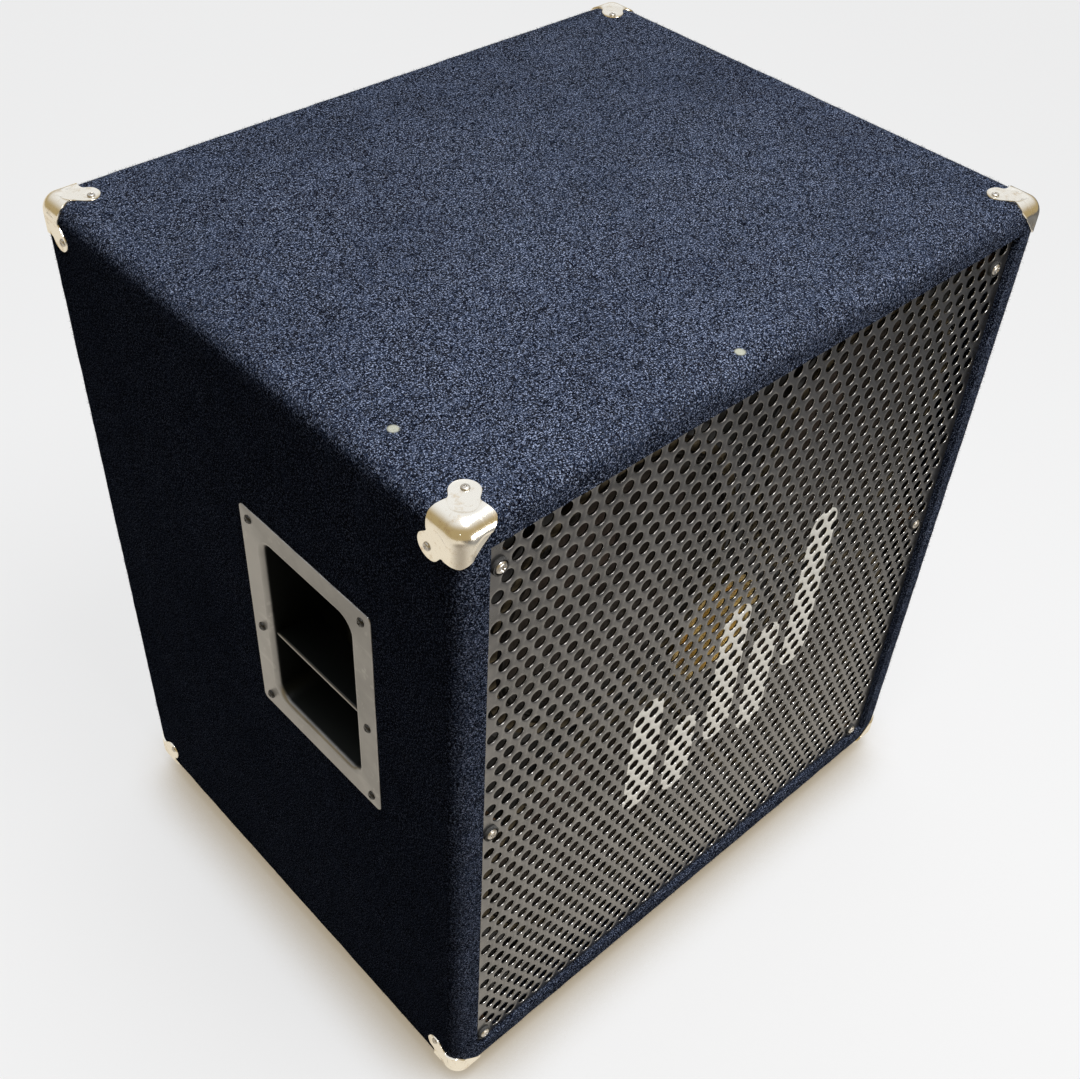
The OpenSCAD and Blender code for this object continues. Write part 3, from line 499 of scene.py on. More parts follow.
# ---------------------------------------------------------------- mesh helpers


def place_in_scene(name, data):
    """A new object that shows a mesh, a lamp or a camera."""
    thing = bpy.data.objects.new(name, data)
    bpy.context.scene.collection.objects.link(thing)
    return thing


def middle_of(low, high):
    """The middle of a box."""
    return 0.5 * (low + high)


def make_piece(name, points, faces, slot, nodes=(), smooth_angle=35.0):
    """A named piece in place, with its finish and the body that carries it."""
    mesh = bpy.data.meshes.new(name)
    mesh.from_pydata([tuple(p) for p in points], [], faces)
    mesh.validate()
    mesh.polygons.foreach_set("use_smooth", [True] * len(mesh.polygons))
    mesh.set_sharp_from_angle(angle=math.radians(smooth_angle))
    piece = place_in_scene(name, mesh)
    mesh.materials.append(MATERIALS[slot])
    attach(piece, "cabinet")
    if nodes:
        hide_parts(*nodes)
    return piece


class Parts:
    """Several solids gathered into one piece."""

    def __init__(self):
        self.points = []
        self.faces = []

    def put(self, points, faces, matrix=None):
        start = len(self.points)
        flip = matrix is not None and matrix.to_3x3().determinant() < 0
        for p in points:
            self.points.append(matrix @ Vector(p) if matrix is not None else Vector(p))
        for face in faces:
            row = [start + i for i in face]
            self.faces.append(row[::-1] if flip else row)


def lathe(profile, segments=32, shape=None):
    """Turns (radius, height) points, from the axis out and back to it, round Z."""
    points = []
    rings = []
    for r, z in profile:
        if r < 1e-9:
            rings.append([len(points)])
            points.append((0.0, 0.0, shape(0.0, 0.0, z) if shape else z))
            continue
        ring = []
        for i in range(segments):
            angle = 2 * math.pi * i / segments
            x, y = r * math.cos(angle), r * math.sin(angle)
            ring.append(len(points))
            points.append((x, y, shape(x, y, z) if shape else z))
        rings.append(ring)
    faces = []
    for a, b in zip(rings, rings[1:]):
        for i in range(segments):
            j = (i + 1) % segments
            if len(a) == 1:
                faces.append((a[0], b[i], b[j]))
            elif len(b) == 1:
                faces.append((a[i], b[0], a[j]))
            else:
                faces.append((a[i], b[i], b[j], a[j]))
    return points, faces


def rounded_loop(half_w, half_h, radius, corner_steps=8):
    """Points of a rounded rectangle, anticlockwise."""
    loop = []
    for k, (sx, sy) in enumerate(((1, 1), (-1, 1), (-1, -1), (1, -1))):
        for i in range(corner_steps + 1):
            angle = math.radians(90 * k + 90 * i / corner_steps)
            x = sx * (half_w - radius) + radius * math.cos(angle)
            y = sy * (half_h - radius) + radius * math.sin(angle)
            loop.append((x, y))
    return loop


def loft(loops):
    """Skins rounded rectangles (half width, half height, radius, depth) in turn and caps both ends."""
    points = []
    faces = []
    count = len(rounded_loop(1, 1, 0.5))
    for half_w, half_h, radius, depth in loops:
        points += [(x, y, depth) for x, y in rounded_loop(half_w, half_h, radius)]
    for k in range(len(loops) - 1):
        for i in range(count):
            j = (i + 1) % count
            a, b = k * count, (k + 1) * count
            faces.append((a + i, a + j, b + j, b + i))
    last = (len(loops) - 1) * count
    faces.append(tuple(range(count - 1, -1, -1)))
    faces.append(tuple(last + i for i in range(count)))
    return points, faces


def facing(direction, up, at):
    """A matrix whose Z looks along direction and whose Y looks up, at a place."""
    z = Vector(direction).normalized()
    y = Vector(up).normalized()
    x = y.cross(z)
    matrix = Matrix((x, y, z)).transposed().to_4x4()
    matrix.translation = Vector(at)
    return matrix


def smooth(value, low, high):
    """0 below low, 1 above high, with a soft start and end."""
    t = min(max((value - low) / (high - low), 0.0), 1.0)
    return t * t * (3 - 2 * t)


# ---------------------------------------------------------------- screws


def pan_screw(head_r, head_h, shank_r, length, recess=0.55):
    """A domed head with a cross recess, on its shank. The head's underside is at Z 0."""
    arm = 0.13 * head_r

    def pressed(x, y, z):
        if z <= 0:
            return z
        reach = math.hypot(x, y) / head_r
        in_cross = min(abs(x), abs(y)) < arm and reach < recess
        return z - (0.5 * head_h * (1 - 0.5 * reach / recess) if in_cross else 0.0)

    steps = 14
    rim = 0.12 * head_h
    profile = []
    for i in range(steps + 1):
        t = i / steps
        profile.append((head_r * t, max(head_h * (1 - t**3.2) ** 0.5, rim)))
    profile += [(head_r, 0.0), (shank_r, 0.0), (shank_r, -length), (0.0, -length - shank_r)]
    return lathe(profile, 32, pressed)


def screws(name, node, slot, places, *sizes):
    """Screws of one size, each turned at random, as one piece. The sizes are pan_screw's."""
    parts = Parts()
    spin = np.random.default_rng(len(places))
    for matrix in places:
        turned = matrix @ Matrix.Rotation(spin.uniform(0, math.pi), 4, "Z")
        parts.put(*pan_screw(*sizes), turned)
    return make_piece(name, parts.points, parts.faces, slot, [node], 28.0)


# ---------------------------------------------------------------- grille


HOLE_R = 5 * MM
PITCH = 15 * MM
ROW = PITCH * math.sqrt(3) / 2
ROLL = 0.45 * MM  # roll-over that the punch leaves round a hole
SIDES = 18  # flats round one hole, three to each side of its cell
grille_mid_z = 0.5 * (grille_low.z + grille_high.z)
COLS = 34
ROWS = 44
SCREW_ROWS = (1, 21, 43)
SCREW_R = 2.1 * MM


def hole_at(row, col):
    """X and Z of a hole's middle. Rows run down and every other one is shifted."""
    x = (col - (COLS - 1) / 2) * PITCH + (PITCH / 4 if row % 2 == 0 else -PITCH / 4)
    return x, grille_mid_z + ((ROWS - 1) / 2 - row) * ROW


def is_screw(row, col):
    """True where a screw holds the sheet in place of a hole."""
    return row in SCREW_ROWS and col in (0, COLS - 1)


class Sheet:
    """Front and back skins of the grille, with shared points between neighbouring cells."""

    def __init__(self, front, back):
        self.front = front
        self.back = back
        self.points = []
        self.faces = []
        self.known = {}

    def corner(self, x, z, y):
        key = (round(x * 1e6), round(z * 1e6), y)
        if key not in self.known:
            self.known[key] = len(self.points)
            self.points.append((x, y, z))
        return self.known[key]

    def skin(self, outline):
        """A flat patch on both skins. The outline runs anticlockwise as seen from the front."""
        self.faces.append([self.corner(x, z, self.front) for x, z in outline])
        self.faces.append([self.corner(x, z, self.back) for x, z in reversed(outline)])

    def ring(self, x, z, radius, y):
        start = len(self.points)
        for i in range(SIDES):
            angle = math.radians(90 + 360 * i / SIDES)
            self.points.append((x + radius * math.cos(angle), y, z + radius * math.sin(angle)))
        return [start + i for i in range(SIDES)]

    def cell(self, x, z, radius, roll):
        """A six-sided cell with a round hole, rolled at the front."""
        corners = []
        for i in range(6):
            angle = math.radians(90 + 60 * i)
            reach = PITCH / math.sqrt(3)
            corners.append((x + reach * math.cos(angle), z + reach * math.sin(angle)))
        rings = [
            self.ring(x, z, radius + roll, self.front),
            self.ring(x, z, radius + 0.25 * roll, self.front + 0.45 * roll),
            self.ring(x, z, radius, self.front + 1.6 * roll),
            self.ring(x, z, radius, self.back),
        ]
        step = SIDES // 6
        for i in range(6):
            j = (i + 1) % 6
            arc = [(i * step + k) % SIDES for k in range(step + 1)]
            outer = [self.corner(*corners[i], self.front), self.corner(*corners[j], self.front)]
            self.faces.append(outer + [rings[0][k] for k in reversed(arc)])
            outer = [self.corner(*corners[j], self.back), self.corner(*corners[i], self.back)]
            self.faces.append(outer + [rings[-1][k] for k in arc])
        for a, b in zip(rings, rings[1:]):
            for i in range(SIDES):
                j = (i + 1) % SIDES
                self.faces.append((a[i], a[j], b[j], b[i]))


def build_grille():
    """The perforated sheet: cells round every hole, then a margin out to its four edges."""
    sheet = Sheet(grille_low.y, grille_high.y)
    for row in range(ROWS):
        for col in range(COLS):
            x, z = hole_at(row, col)
            screw = is_screw(row, col)
            sheet.cell(x, z, SCREW_R if screw else HOLE_R, 0.1 * MM if screw else ROLL)
    left, right = grille_low.x, grille_high.x
    low, high = grille_low.z, grille_high.z
    half, rise = PITCH / 2, PITCH / math.sqrt(3) / 2
    edges = {"left": [], "right": []}
    for row in range(ROWS):
        for side, col, shift in (("left", 0, -half), ("right", COLS - 1, half)):
            x, z = hole_at(row, col)
            edges[side] += [(x + shift, z + rise), (x + shift, z - rise)]
    tops = []
    for row, turn in ((0, 1), (ROWS - 1, -1)):
        chain = []
        for col in range(COLS):
            x, z = hole_at(row, col)
            chain += [(x - half, z + turn * rise), (x, z + turn * 2 * rise)]
        chain.append((x + half, z + turn * rise))
        tops.append(chain)
    for (x0, z0), (x1, z1) in zip(edges["left"], edges["left"][1:]):
        sheet.skin([(left, z1), (x1, z1), (x0, z0), (left, z0)])
    for (x0, z0), (x1, z1) in zip(edges["right"], edges["right"][1:]):
        sheet.skin([(x1, z1), (right, z1), (right, z0), (x0, z0)])
    for (x0, z0), (x1, z1) in zip(tops[0], tops[0][1:]):
        sheet.skin([(x0, z0), (x1, z1), (x1, high), (x0, high)])
    for (x0, z0), (x1, z1) in zip(tops[1], tops[1][1:]):
        sheet.skin([(x0, low), (x1, low), (x1, z1), (x0, z0)])
    for chain, edge_z in zip(tops, (high, low)):
        for (x, z), edge_x in ((chain[0], left), (chain[-1], right)):
            (x0, x1), (z0, z1) = sorted((x, edge_x)), sorted((z, edge_z))
            sheet.skin([(x0, z0), (x1, z0), (x1, z1), (x0, z1)])
    rim = [(left, z) for _, z in edges["left"]] + [(left, low)]
    rim += [(x, low) for x, _ in tops[1]] + [(right, low)]
    rim += [(right, z) for _, z in reversed(edges["right"])] + [(right, high)]
    rim += [(x, high) for x, _ in reversed(tops[0])] + [(left, high)]
    for a, b in zip(rim, rim[1:] + rim[:1]):
        if a == b:
            continue
        sheet.faces.append([
            sheet.corner(*a, sheet.front), sheet.corner(*a, sheet.back),
            sheet.corner(*b, sheet.back), sheet.corner(*b, sheet.front),
        ])
    make_piece("grille_sheet", sheet.points, sheet.faces, "grille_coat", ["grille"], 40.0)


build_grille()

grille_places = []
for row in SCREW_ROWS:
    for col in (0, COLS - 1):
        x, z = hole_at(row, col)
        grille_places.append(facing((0, -1, 0), (0, 0, 1), (x, grille_low.y - 1.2 * MM, z)))
screws(
    "grille_screw_heads", "grille_screws", "screw_steel", grille_places,
    4.6 * MM, 2.6 * MM, 2 * MM, 18 * MM,
)


# ---------------------------------------------------------------- corner protectors


def ear_outline(turn):
    """How far the steel reaches in a face at an angle from one edge, in the face's own plane."""
    off = abs(turn - math.pi / 4)
    aside = EAR_MIDDLE * math.sin(off)
    ear = 0.0
    if aside < EAR_R:
        ear = EAR_MIDDLE * math.cos(off) + math.sqrt(EAR_R**2 - aside**2)
    elif off < math.radians(25):
        ear = 0.9 * EAR_R / math.sin(off)
    blend = 9
    return (REACH**blend + ear**blend) ** (1 / blend)


def lip_outline(turn):
    """On the front lip the steel ends in a slanted edge between two rounded lobes."""
    return REACH - 5.5 * MM * (math.sin(2 * turn) ** 2) ** 0.75


def strap_distance(along, across):
    """From a point of a face to the flat strap that carries the ear's screw."""
    nearest = min(max(along, STRAP_START), EAR_MIDDLE)
    return math.hypot(along - nearest, across)


def on_rounded_corner(p, height):
    """Moves a point of a sharp corner onto the rounded one, height above the carpet."""
    core = Vector((max(p.x, EDGE_R), max(p.y, EDGE_R), max(p.z, EDGE_R)))
    return core + (p - core).normalized() * (EDGE_R + height)


def protector(rear):
    """One protector in a frame whose axes run inward from the cabinet's corner."""
    turns = [math.radians(3.0 * i) for i in range(30)]
    turns = [a for a in turns if not math.radians(25) < a < math.radians(65)]
    turns = sorted(turns + [math.radians(26 + 1.0 * i) for i in range(39)])
    rays = []
    for face in range(3):
        for turn in turns:
            c, s = math.cos(turn), math.sin(turn)
            direction = (Vector((c, s, 0)), Vector((0, c, s)), Vector((s, 0, c)))[face]
            outline = ear_outline if rear or face < 2 else lip_outline
            rays.append((direction, outline(turn), turn, outline is ear_outline))
    steps = 30
    proud, deep = 0.6 * MM, -0.6 * MM
    apex = Vector((0, 0, 0))
    points = [on_rounded_corner(apex, proud + 0.5 * MM), on_rounded_corner(apex, deep)]
    rings = []
    layers = [("top", (i + 1) / steps) for i in range(steps)] + [("side", 1.0)]
    layers += [("under", 1 - i / 6) for i in range(6)]
    for kind, t in layers:
        ring = []
        for direction, reach, turn, eared in rays:
            rho = reach * t - (0.35 * MM if kind == "top" and t == 1.0 else 0.0)
            along, across = rho * math.cos(turn - math.pi / 4), rho * math.sin(turn - math.pi / 4)
            bulge = 1.0 * MM * smooth(strap_distance(along, across), EAR_R - 1.2 * MM, EAR_R + 1.3 * MM)
            to_screw = math.hypot(rho * math.cos(turn) - EAR_AT, rho * math.sin(turn) - EAR_AT)
            if eared:
                bulge -= 0.35 * MM * (1 - smooth(to_screw, 3.2 * MM, 5.2 * MM))
            height = {"top": proud + bulge, "side": proud - 0.35 * MM, "under": deep}[kind]
            ring.append(len(points))
            points.append(on_rounded_corner(direction * rho, height))
        rings.append(ring)
    faces = []
    count = len(rays)
    for i in range(count):
        j = (i + 1) % count
        faces.append((0, rings[0][j], rings[0][i]))
        faces.append((1, rings[-1][i], rings[-1][j]))
        for a, b in zip(rings, rings[1:]):
            faces.append((a[i], a[j], b[j], b[i]))
    return points, faces


def corner_matrix(x, y, z):
    """From the inward frame of a corner to the cabinet."""
    place = Vector((
        wrap_low.x if x < 0 else wrap_high.x,
        wrap_low.y if y < 0 else wrap_high.y,
        wrap_low.z if z < 0 else wrap_high.z,
    ))
    matrix = Matrix.Diagonal((-x, -y, -z, 1.0))
    matrix.translation = place
    return matrix


def build_protectors():
    """Eight pressed protectors, four to a piece, and the screws through their ears."""
    screw_places = []
    for level, z in (("top", 1), ("bottom", -1)):
        parts = Parts()
        for x in (-1, 1):
            for y in (-1, 1):
                matrix = corner_matrix(x, y, z)
                parts.put(*protector(y > 0), matrix)
                ears = [((EAR_AT, EAR_AT, 0), (0, 0, -1)), ((0, EAR_AT, EAR_AT), (-1, 0, 0))]
                if y > 0:
                    ears.append(((EAR_AT, 0, EAR_AT), (0, -1, 0)))
                for at, out in ears:
                    normal = matrix.to_3x3() @ Vector(out)
                    up = (1, 0, 0) if abs(normal.x) < 0.5 else (0, 0, 1)
                    screw_places.append(facing(normal, up, matrix @ Vector(at) + normal * 0.3 * MM))
        make_piece("protectors_" + level, parts.points, parts.faces, "nickel", ["corners_" + level], 50.0)
    screws(
        "protector_screws", "corner_screws", "screw_steel", screw_places,
        2.9 * MM, 1.3 * MM, 1.5 * MM, 12 * MM,
    )


build_protectors()


# ---------------------------------------------------------------- handles and jack plate


HAND_W, HAND_H = 100 * MM, 161 * MM  # mouth of a handle's dish
HAND_SCREW_IN = 10 * MM  # a handle's screws, from the edges of its flange
HAND_SCREW_LOW = 15 * MM  # how far the middle pair sits below the middle
JACK_FLANGE = 14 * MM  # width of the jack plate's flange
JACK_SCREW_IN = 7 * MM


def pressed_dish(outer_w, outer_h, inner_w, inner_h, depth, roll, corner):
    """A flange with a rolled edge round a drafted dish, as one closed sheet 1.5 mm thick."""
    t = 1.5 * MM
    hw, hh = inner_w / 2, inner_h / 2
    ow, oh = outer_w / 2, outer_h / 2
    rim = 4 * MM  # radius of the flange's corners
    bead = 1.2 * MM  # raised line round the mouth
    loops = [
        (hw + t - 2 * MM, hh + t - 2 * MM, corner, -depth),
        (hw + t, hh + t, corner + t, -depth + 2 * MM),
        (hw + t, hh + t, corner + t, -t - roll),
        (hw + t + roll, hh + t + roll, corner + t + roll, -t),
        (ow - 0.6 * MM, oh - 0.6 * MM, rim, -t),
        (ow, oh, rim + 0.4 * MM, -t + 0.4 * MM),
        (ow, oh, rim + 0.4 * MM, -0.5 * MM),
        (ow - 0.2 * MM, oh - 0.2 * MM, rim + 0.2 * MM, -0.15 * MM),
        (ow - 0.7 * MM, oh - 0.7 * MM, rim, 0.0),
        (hw + roll + bead, hh + roll + bead, corner + roll + bead, 0.0),
        (hw + roll + 0.5 * bead, hh + roll + 0.5 * bead, corner + roll + 0.5 * bead, 0.25 * MM),
    ]
    for i in range(9):
        a = math.radians(90 * i / 8)
        grow = roll * (1 - math.sin(a))
        loops.append((hw + grow, hh + grow, corner + grow, 0.3 * MM - (roll + 0.3 * MM) * (1 - math.cos(a))))
    draft = 1.2 * MM
    fillet = 5 * MM
    bottom = -depth + t
    loops.append((hw - draft, hh - draft, corner, bottom + fillet))
    for i in range(1, 6):
        a = math.radians(90 * i / 5)
        shrink = draft + fillet * (1 - math.cos(a))
        loops.append((hw - shrink, hh - shrink, corner, bottom + fillet * (1 - math.sin(a))))
    return loft(loops)


def handle_matrix(side):
    """From a handle's own frame, Z out of the cabinet and Y up, to the cabinet."""
    low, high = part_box("handle_dish_left" if side < 0 else "handle_dish_right")
    middle = middle_of(low, high)
    return facing((side, 0, 0), (0, 0, 1), (low.x if side < 0 else high.x, middle.y, middle.z))


def build_grip(side):
    """A bent plate with a rolled nose. Z looks out of the cabinet and Y up."""
    name = "left" if side < 0 else "right"
    low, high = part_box("handle_grip_" + name)
    nose_r = 1.7 * MM
    profile = []
    for i in range(13):
        a = math.radians(-90 + 180 * i / 12)
        profile.append((nose_r * math.sin(a), nose_r * (math.cos(a) - 1)))
    back = -(high.x - low.x) + 0.5 * MM
    drop = 7 * MM
    profile += [(nose_r - 0.5 * drop, 0.5 * back), (nose_r - drop, back)]
    profile += [(-2.2 * MM - drop, back), (-nose_r - 0.45 * drop, 0.5 * back)]
    half = 0.5 * (high.y - low.y) + 0.6 * MM
    spans = [-half, -half + 1 * MM, half - 1 * MM, half]
    points = []
    for u in spans:
        points += [(u, v, w) for v, w in profile]
    count = len(profile)
    faces = [tuple(range(count)), tuple(len(points) - 1 - i for i in range(count))]
    for k in range(len(spans) - 1):
        for i in range(count):
            j = (i + 1) % count
            a, b = k * count, (k + 1) * count
            faces.append((a + j, a + i, b + i, b + j))
    parts = Parts()
    nose = (low.x if side < 0 else high.x, 0.5 * (low.y + high.y), high.z - 4 * MM)
    parts.put(points, faces, facing((side, 0, 0), (0, 0, 1), nose))
    make_piece("grip_" + name, parts.points, parts.faces, "handle_coat", ["handle_grip_" + name])


def build_handles():
    """Both dishes with their grips, and the screws through their flanges."""
    places = []
    for side, name in ((-1, "left"), (1, "right")):
        matrix = handle_matrix(side)
        low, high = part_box("handle_dish_" + name)
        width, height = high.y - low.y, high.z - low.z
        parts = Parts()
        dish = pressed_dish(width, height, HAND_W, HAND_H, high.x - low.x, 4 * MM, 12 * MM)
        parts.put(*dish, matrix)
        make_piece("handle_" + name, parts.points, parts.faces, "handle_coat", ["handle_dish_" + name])
        rows = (height / 2 - HAND_SCREW_IN, -HAND_SCREW_LOW, -height / 2 + HAND_SCREW_IN)
        for x in (-1, 1):
            for row in rows:
                places.append(matrix @ Matrix.Translation((x * (width / 2 - HAND_SCREW_IN), row, 0)))
        build_grip(side)
    screws(
        "handle_screw_heads", "handle_screws", "black_screw", places,
        3.6 * MM, 1.9 * MM, 2 * MM, 13 * MM,
    )


build_handles()


def build_jack_plate():
    """The recessed plate in the back and its four screws."""
    low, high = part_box("jack_plate")
    width, height = high.x - low.x, high.z - low.z
    middle = middle_of(low, high)
    matrix = facing((0, 1, 0), (0, 0, 1), (middle.x, high.y, middle.z))
    mouth = (width - 2 * JACK_FLANGE, height - 2 * JACK_FLANGE)
    parts = Parts()
    parts.put(*pressed_dish(width, height, *mouth, high.y - low.y, 2 * MM, 5 * MM), matrix)
    make_piece("jack_plate_dish", parts.points, parts.faces, "handle_coat", ["jack_plate"])
    places = []
    across, up = width / 2 - JACK_SCREW_IN, height / 2 - JACK_SCREW_IN
    for x in (-across, across):
        for z in (-up, up):
            places.append(matrix @ Matrix.Translation((x, z, 0)))
    screws(
        "jack_plate_screw_heads", "jack_plate_screws", "black_screw", places,
        3.4 * MM, 1.8 * MM, 1.8 * MM, 13 * MM,
    )


build_jack_plate()


# ---------------------------------------------------------------- knob and feet


FLUTES = 12  # round the knob


def build_knob():
    """A fluted cap with a pointer line cut in its end. Z looks out of the back."""
    low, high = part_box("level_knob")
    r = 0.5 * (high.x - low.x)
    h = high.y - low.y
    middle = middle_of(low, high)
    profile = [(0, 0), (r - 0.4 * MM, 0), (r, 0.4 * MM), (r, 2.6 * MM), (r - 0.5 * MM, 3.1 * MM)]
    profile += [(r - 1.1 * MM, h - 1.2 * MM), (r - 1.5 * MM, h - 0.4 * MM), (r - 2.4 * MM, h)]
    profile += [(r - 3.2 * MM, h - 0.25 * MM), (0, h - 0.45 * MM)]
    points, faces = lathe(profile[::-1], 96)
    shaped = []
    for x, y, z in points:
        radius = math.hypot(x, y)
        if radius > 0.6 * r and 3 * MM < z < h - 0.3 * MM:
            flute = max(0.0, math.cos(FLUTES * math.atan2(y, x))) ** 3
            scale = 1 - 0.09 * flute
            x, y = x * scale, y * scale
        on_pointer = z > h - 0.6 * MM and abs(x) < 0.7 * MM and y > 1.5 * MM
        if on_pointer:
            z -= 0.5 * MM
        shaped.append((x, y, z))
    parts = Parts()
    parts.put(shaped, faces, facing((0, 1, 0), (0, 0, 1), (middle.x, low.y, middle.z)))
    piece = make_piece("knob_cap", parts.points, parts.faces, "black_nylon", ["level_knob"])
    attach(piece, "knob")


build_knob()


def build_feet():
    """Four tapered feet, each with a pocket for its screw."""
    low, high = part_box("feet")
    r = 20 * MM
    h = high.z - low.z
    pocket = 7.8 * MM
    profile = [(0, h), (r - 0.5 * MM, h), (r, h - 0.6 * MM), (r - 0.4 * MM, 0.7 * h)]
    profile += [(r - 2.2 * MM, 2 * MM), (r - 3 * MM, 0.6 * MM), (r - 4.2 * MM, 0), (9.5 * MM, 0)]
    profile += [(8.2 * MM, 0.5 * MM), (7 * MM, 2 * MM), (6.6 * MM, 7.6 * MM), (0, pocket)]
    parts = Parts()
    screw_places = []
    for x in (low.x + r, high.x - r):
        for y in (low.y + r, high.y - r):
            parts.put(*lathe(profile, 48), Matrix.Translation((x, y, low.z)))
            screw_places.append(facing((0, 0, -1), (0, 1, 0), (x, y, low.z + pocket)))
    make_piece("rubber_feet", parts.points, parts.faces, "foot_rubber", ["feet"])
    screws(
        "foot_screw_heads", "foot_screws", "screw_steel", screw_places,
        4.6 * MM, 2.8 * MM, 2.4 * MM, 16 * MM,
    )


build_feet()


# ---------------------------------------------------------------- carpet


TUCK = 2 * MM  # how far the carpet runs in under a flange
SEAM_GAP = 0.2 * MM  # between the wrapped carpet and the panel let into the back


def steps_between(low, high, pitch):
    """Even steps of about the pitch, from low up to the last before high."""
    count = max(1, round((high - low) / pitch))
    return [low + (high - low) * i / count for i in range(count)]


def ruled(low, high, marks, pitch):
    """Grid lines from low to high that pass through every mark."""
    stops = [low] + sorted(marks) + [high]
    lines = []
    for a, b in zip(stops, stops[1:]):
        lines += steps_between(a, b, pitch)
    return lines + [high]


def pile_height(p, amount=0.28 * MM):
    """Slow swell of the matted pile."""
    return amount * (noise.noise(p * 55) + 0.6 * noise.noise(p * 160 + Vector((7, 3, 1))))


def on_rounded_box(p):
    """A point of the sharp box on the rounded one, and its outward direction."""
    core = Vector([min(max(p[k], wrap_low[k] + EDGE_R), wrap_high[k] - EDGE_R) for k in range(3)])
    out = (p - core).normalized()
    return core + out * EDGE_R, out


def thicken(piece, thickness):
    """Gives the carpet its thickness, inward from the pile."""
    thick = piece.modifiers.new("carpet thickness", "SOLIDIFY")
    thick.thickness = thickness
    thick.offset = -1.0


def build_carpet_wrap():
    """The carpet round all six sides, open at the baffle, the handles and the back panel."""
    open_x = 0.5 * (wrap_high.x - wrap_low.x) - LIP
    dish_low, dish_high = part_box("handle_dish_left")
    front_hole = (-open_x, open_x, wrap_low.z + LIP, wrap_high.z - LIP)
    back_hole = (seam_low.x - SEAM_GAP, seam_high.x + SEAM_GAP, seam_low.z - SEAM_GAP, seam_high.z + SEAM_GAP)
    hand_hole = (dish_low.y + TUCK, dish_high.y - TUCK, dish_low.z + TUCK, dish_high.z - TUCK)
    edge = [0.33 * EDGE_R, 0.66 * EDGE_R, EDGE_R]
    marks = {}
    for axis in range(3):
        low, high = wrap_low[axis], wrap_high[axis]
        marks[axis] = [low + e for e in edge] + [high - e for e in edge]
    marks[0] += front_hole[:2] + back_hole[:2]
    marks[1] += hand_hole[:2]
    marks[2] += front_hole[2:] + back_hole[2:] + hand_hole[2:]
    lines = {axis: ruled(wrap_low[axis], wrap_high[axis], marks[axis], 7 * MM) for axis in range(3)}
    points, faces, known = [], [], {}

    def vertex(p, out):
        """The number of a point, lifted along out by the pile's swell."""
        key = (round(p.x * 1e6), round(p.y * 1e6), round(p.z * 1e6))
        if key not in known:
            known[key] = len(points)
            points.append(p + out * pile_height(p))
        return known[key]

    def outside(p):
        return vertex(*on_rounded_box(p))

    openings = {
        (1, wrap_low.y): front_hole,
        (1, wrap_high.y): back_hole,
        (0, wrap_low.x): hand_hole,
        (0, wrap_high.x): hand_hole,
    }
    for axis in range(3):
        b, c = (axis + 1) % 3, (axis + 2) % 3
        for level, flip in ((wrap_low[axis], True), (wrap_high[axis], False)):
            hole = openings.get((axis, level))
            for b0, b1 in zip(lines[b], lines[b][1:]):
                for c0, c1 in zip(lines[c], lines[c][1:]):
                    corners = []
                    for vb, vc in ((b0, c0), (b1, c0), (b1, c1), (b0, c1)):
                        p = Vector((0, 0, 0))
                        p[axis], p[b], p[c] = level, vb, vc
                        corners.append(p)
                    mid = sum(corners, Vector()) / 4
                    across = mid.y if axis == 0 else mid.x
                    if hole and hole[0] < across < hole[1] and hole[2] < mid.z < hole[3]:
                        continue
                    row = [outside(p) for p in corners]
                    faces.append(row[::-1] if flip else row)

    def turned_edge(hole, level, depths):
        """Turns the carpet in at an opening's edge, down to the last depth."""
        x0, x1, z0, z1 = hole
        xs = [x for x in lines[0] if x0 - 1e-7 <= x <= x1 + 1e-7]
        zs = [z for z in lines[2] if z0 - 1e-7 <= z <= z1 + 1e-7]
        loop = [(x, z0) for x in xs] + [(x1, z) for z in zs[1:]] + [(x, z1) for x in xs[-2::-1]]
        loop += [(x0, z) for z in zs[-2:0:-1]]
        sign = 1 if level < 0 else -1
        rings = [[outside(Vector((x, level, z))) for x, z in loop]]
        for depth in depths:
            y = level + sign * depth
            rings.append([vertex(Vector((x, y, z)), Vector((0, 0, 0))) for x, z in loop])
        for a, b in zip(rings, rings[1:]):
            for i in range(len(loop)):
                j = (i + 1) % len(loop)
                row = (a[i], a[j], b[j], b[i])
                faces.append(row if sign > 0 else row[::-1])

    to_baffle = baffle_low.y - wrap_low.y
    turned_edge(front_hole, wrap_low.y, [0.5 * MM, 1.4 * MM, 4 * MM, 14 * MM, to_baffle])
    turned_edge(back_hole, wrap_high.y, [0.8 * MM, CARPET_T])
    piece = make_piece("carpet_wrap_pile", points, faces, "carpet", ["carpet_wrap"], 60.0)
    thicken(piece, 0.9 * CARPET_T)
    return piece


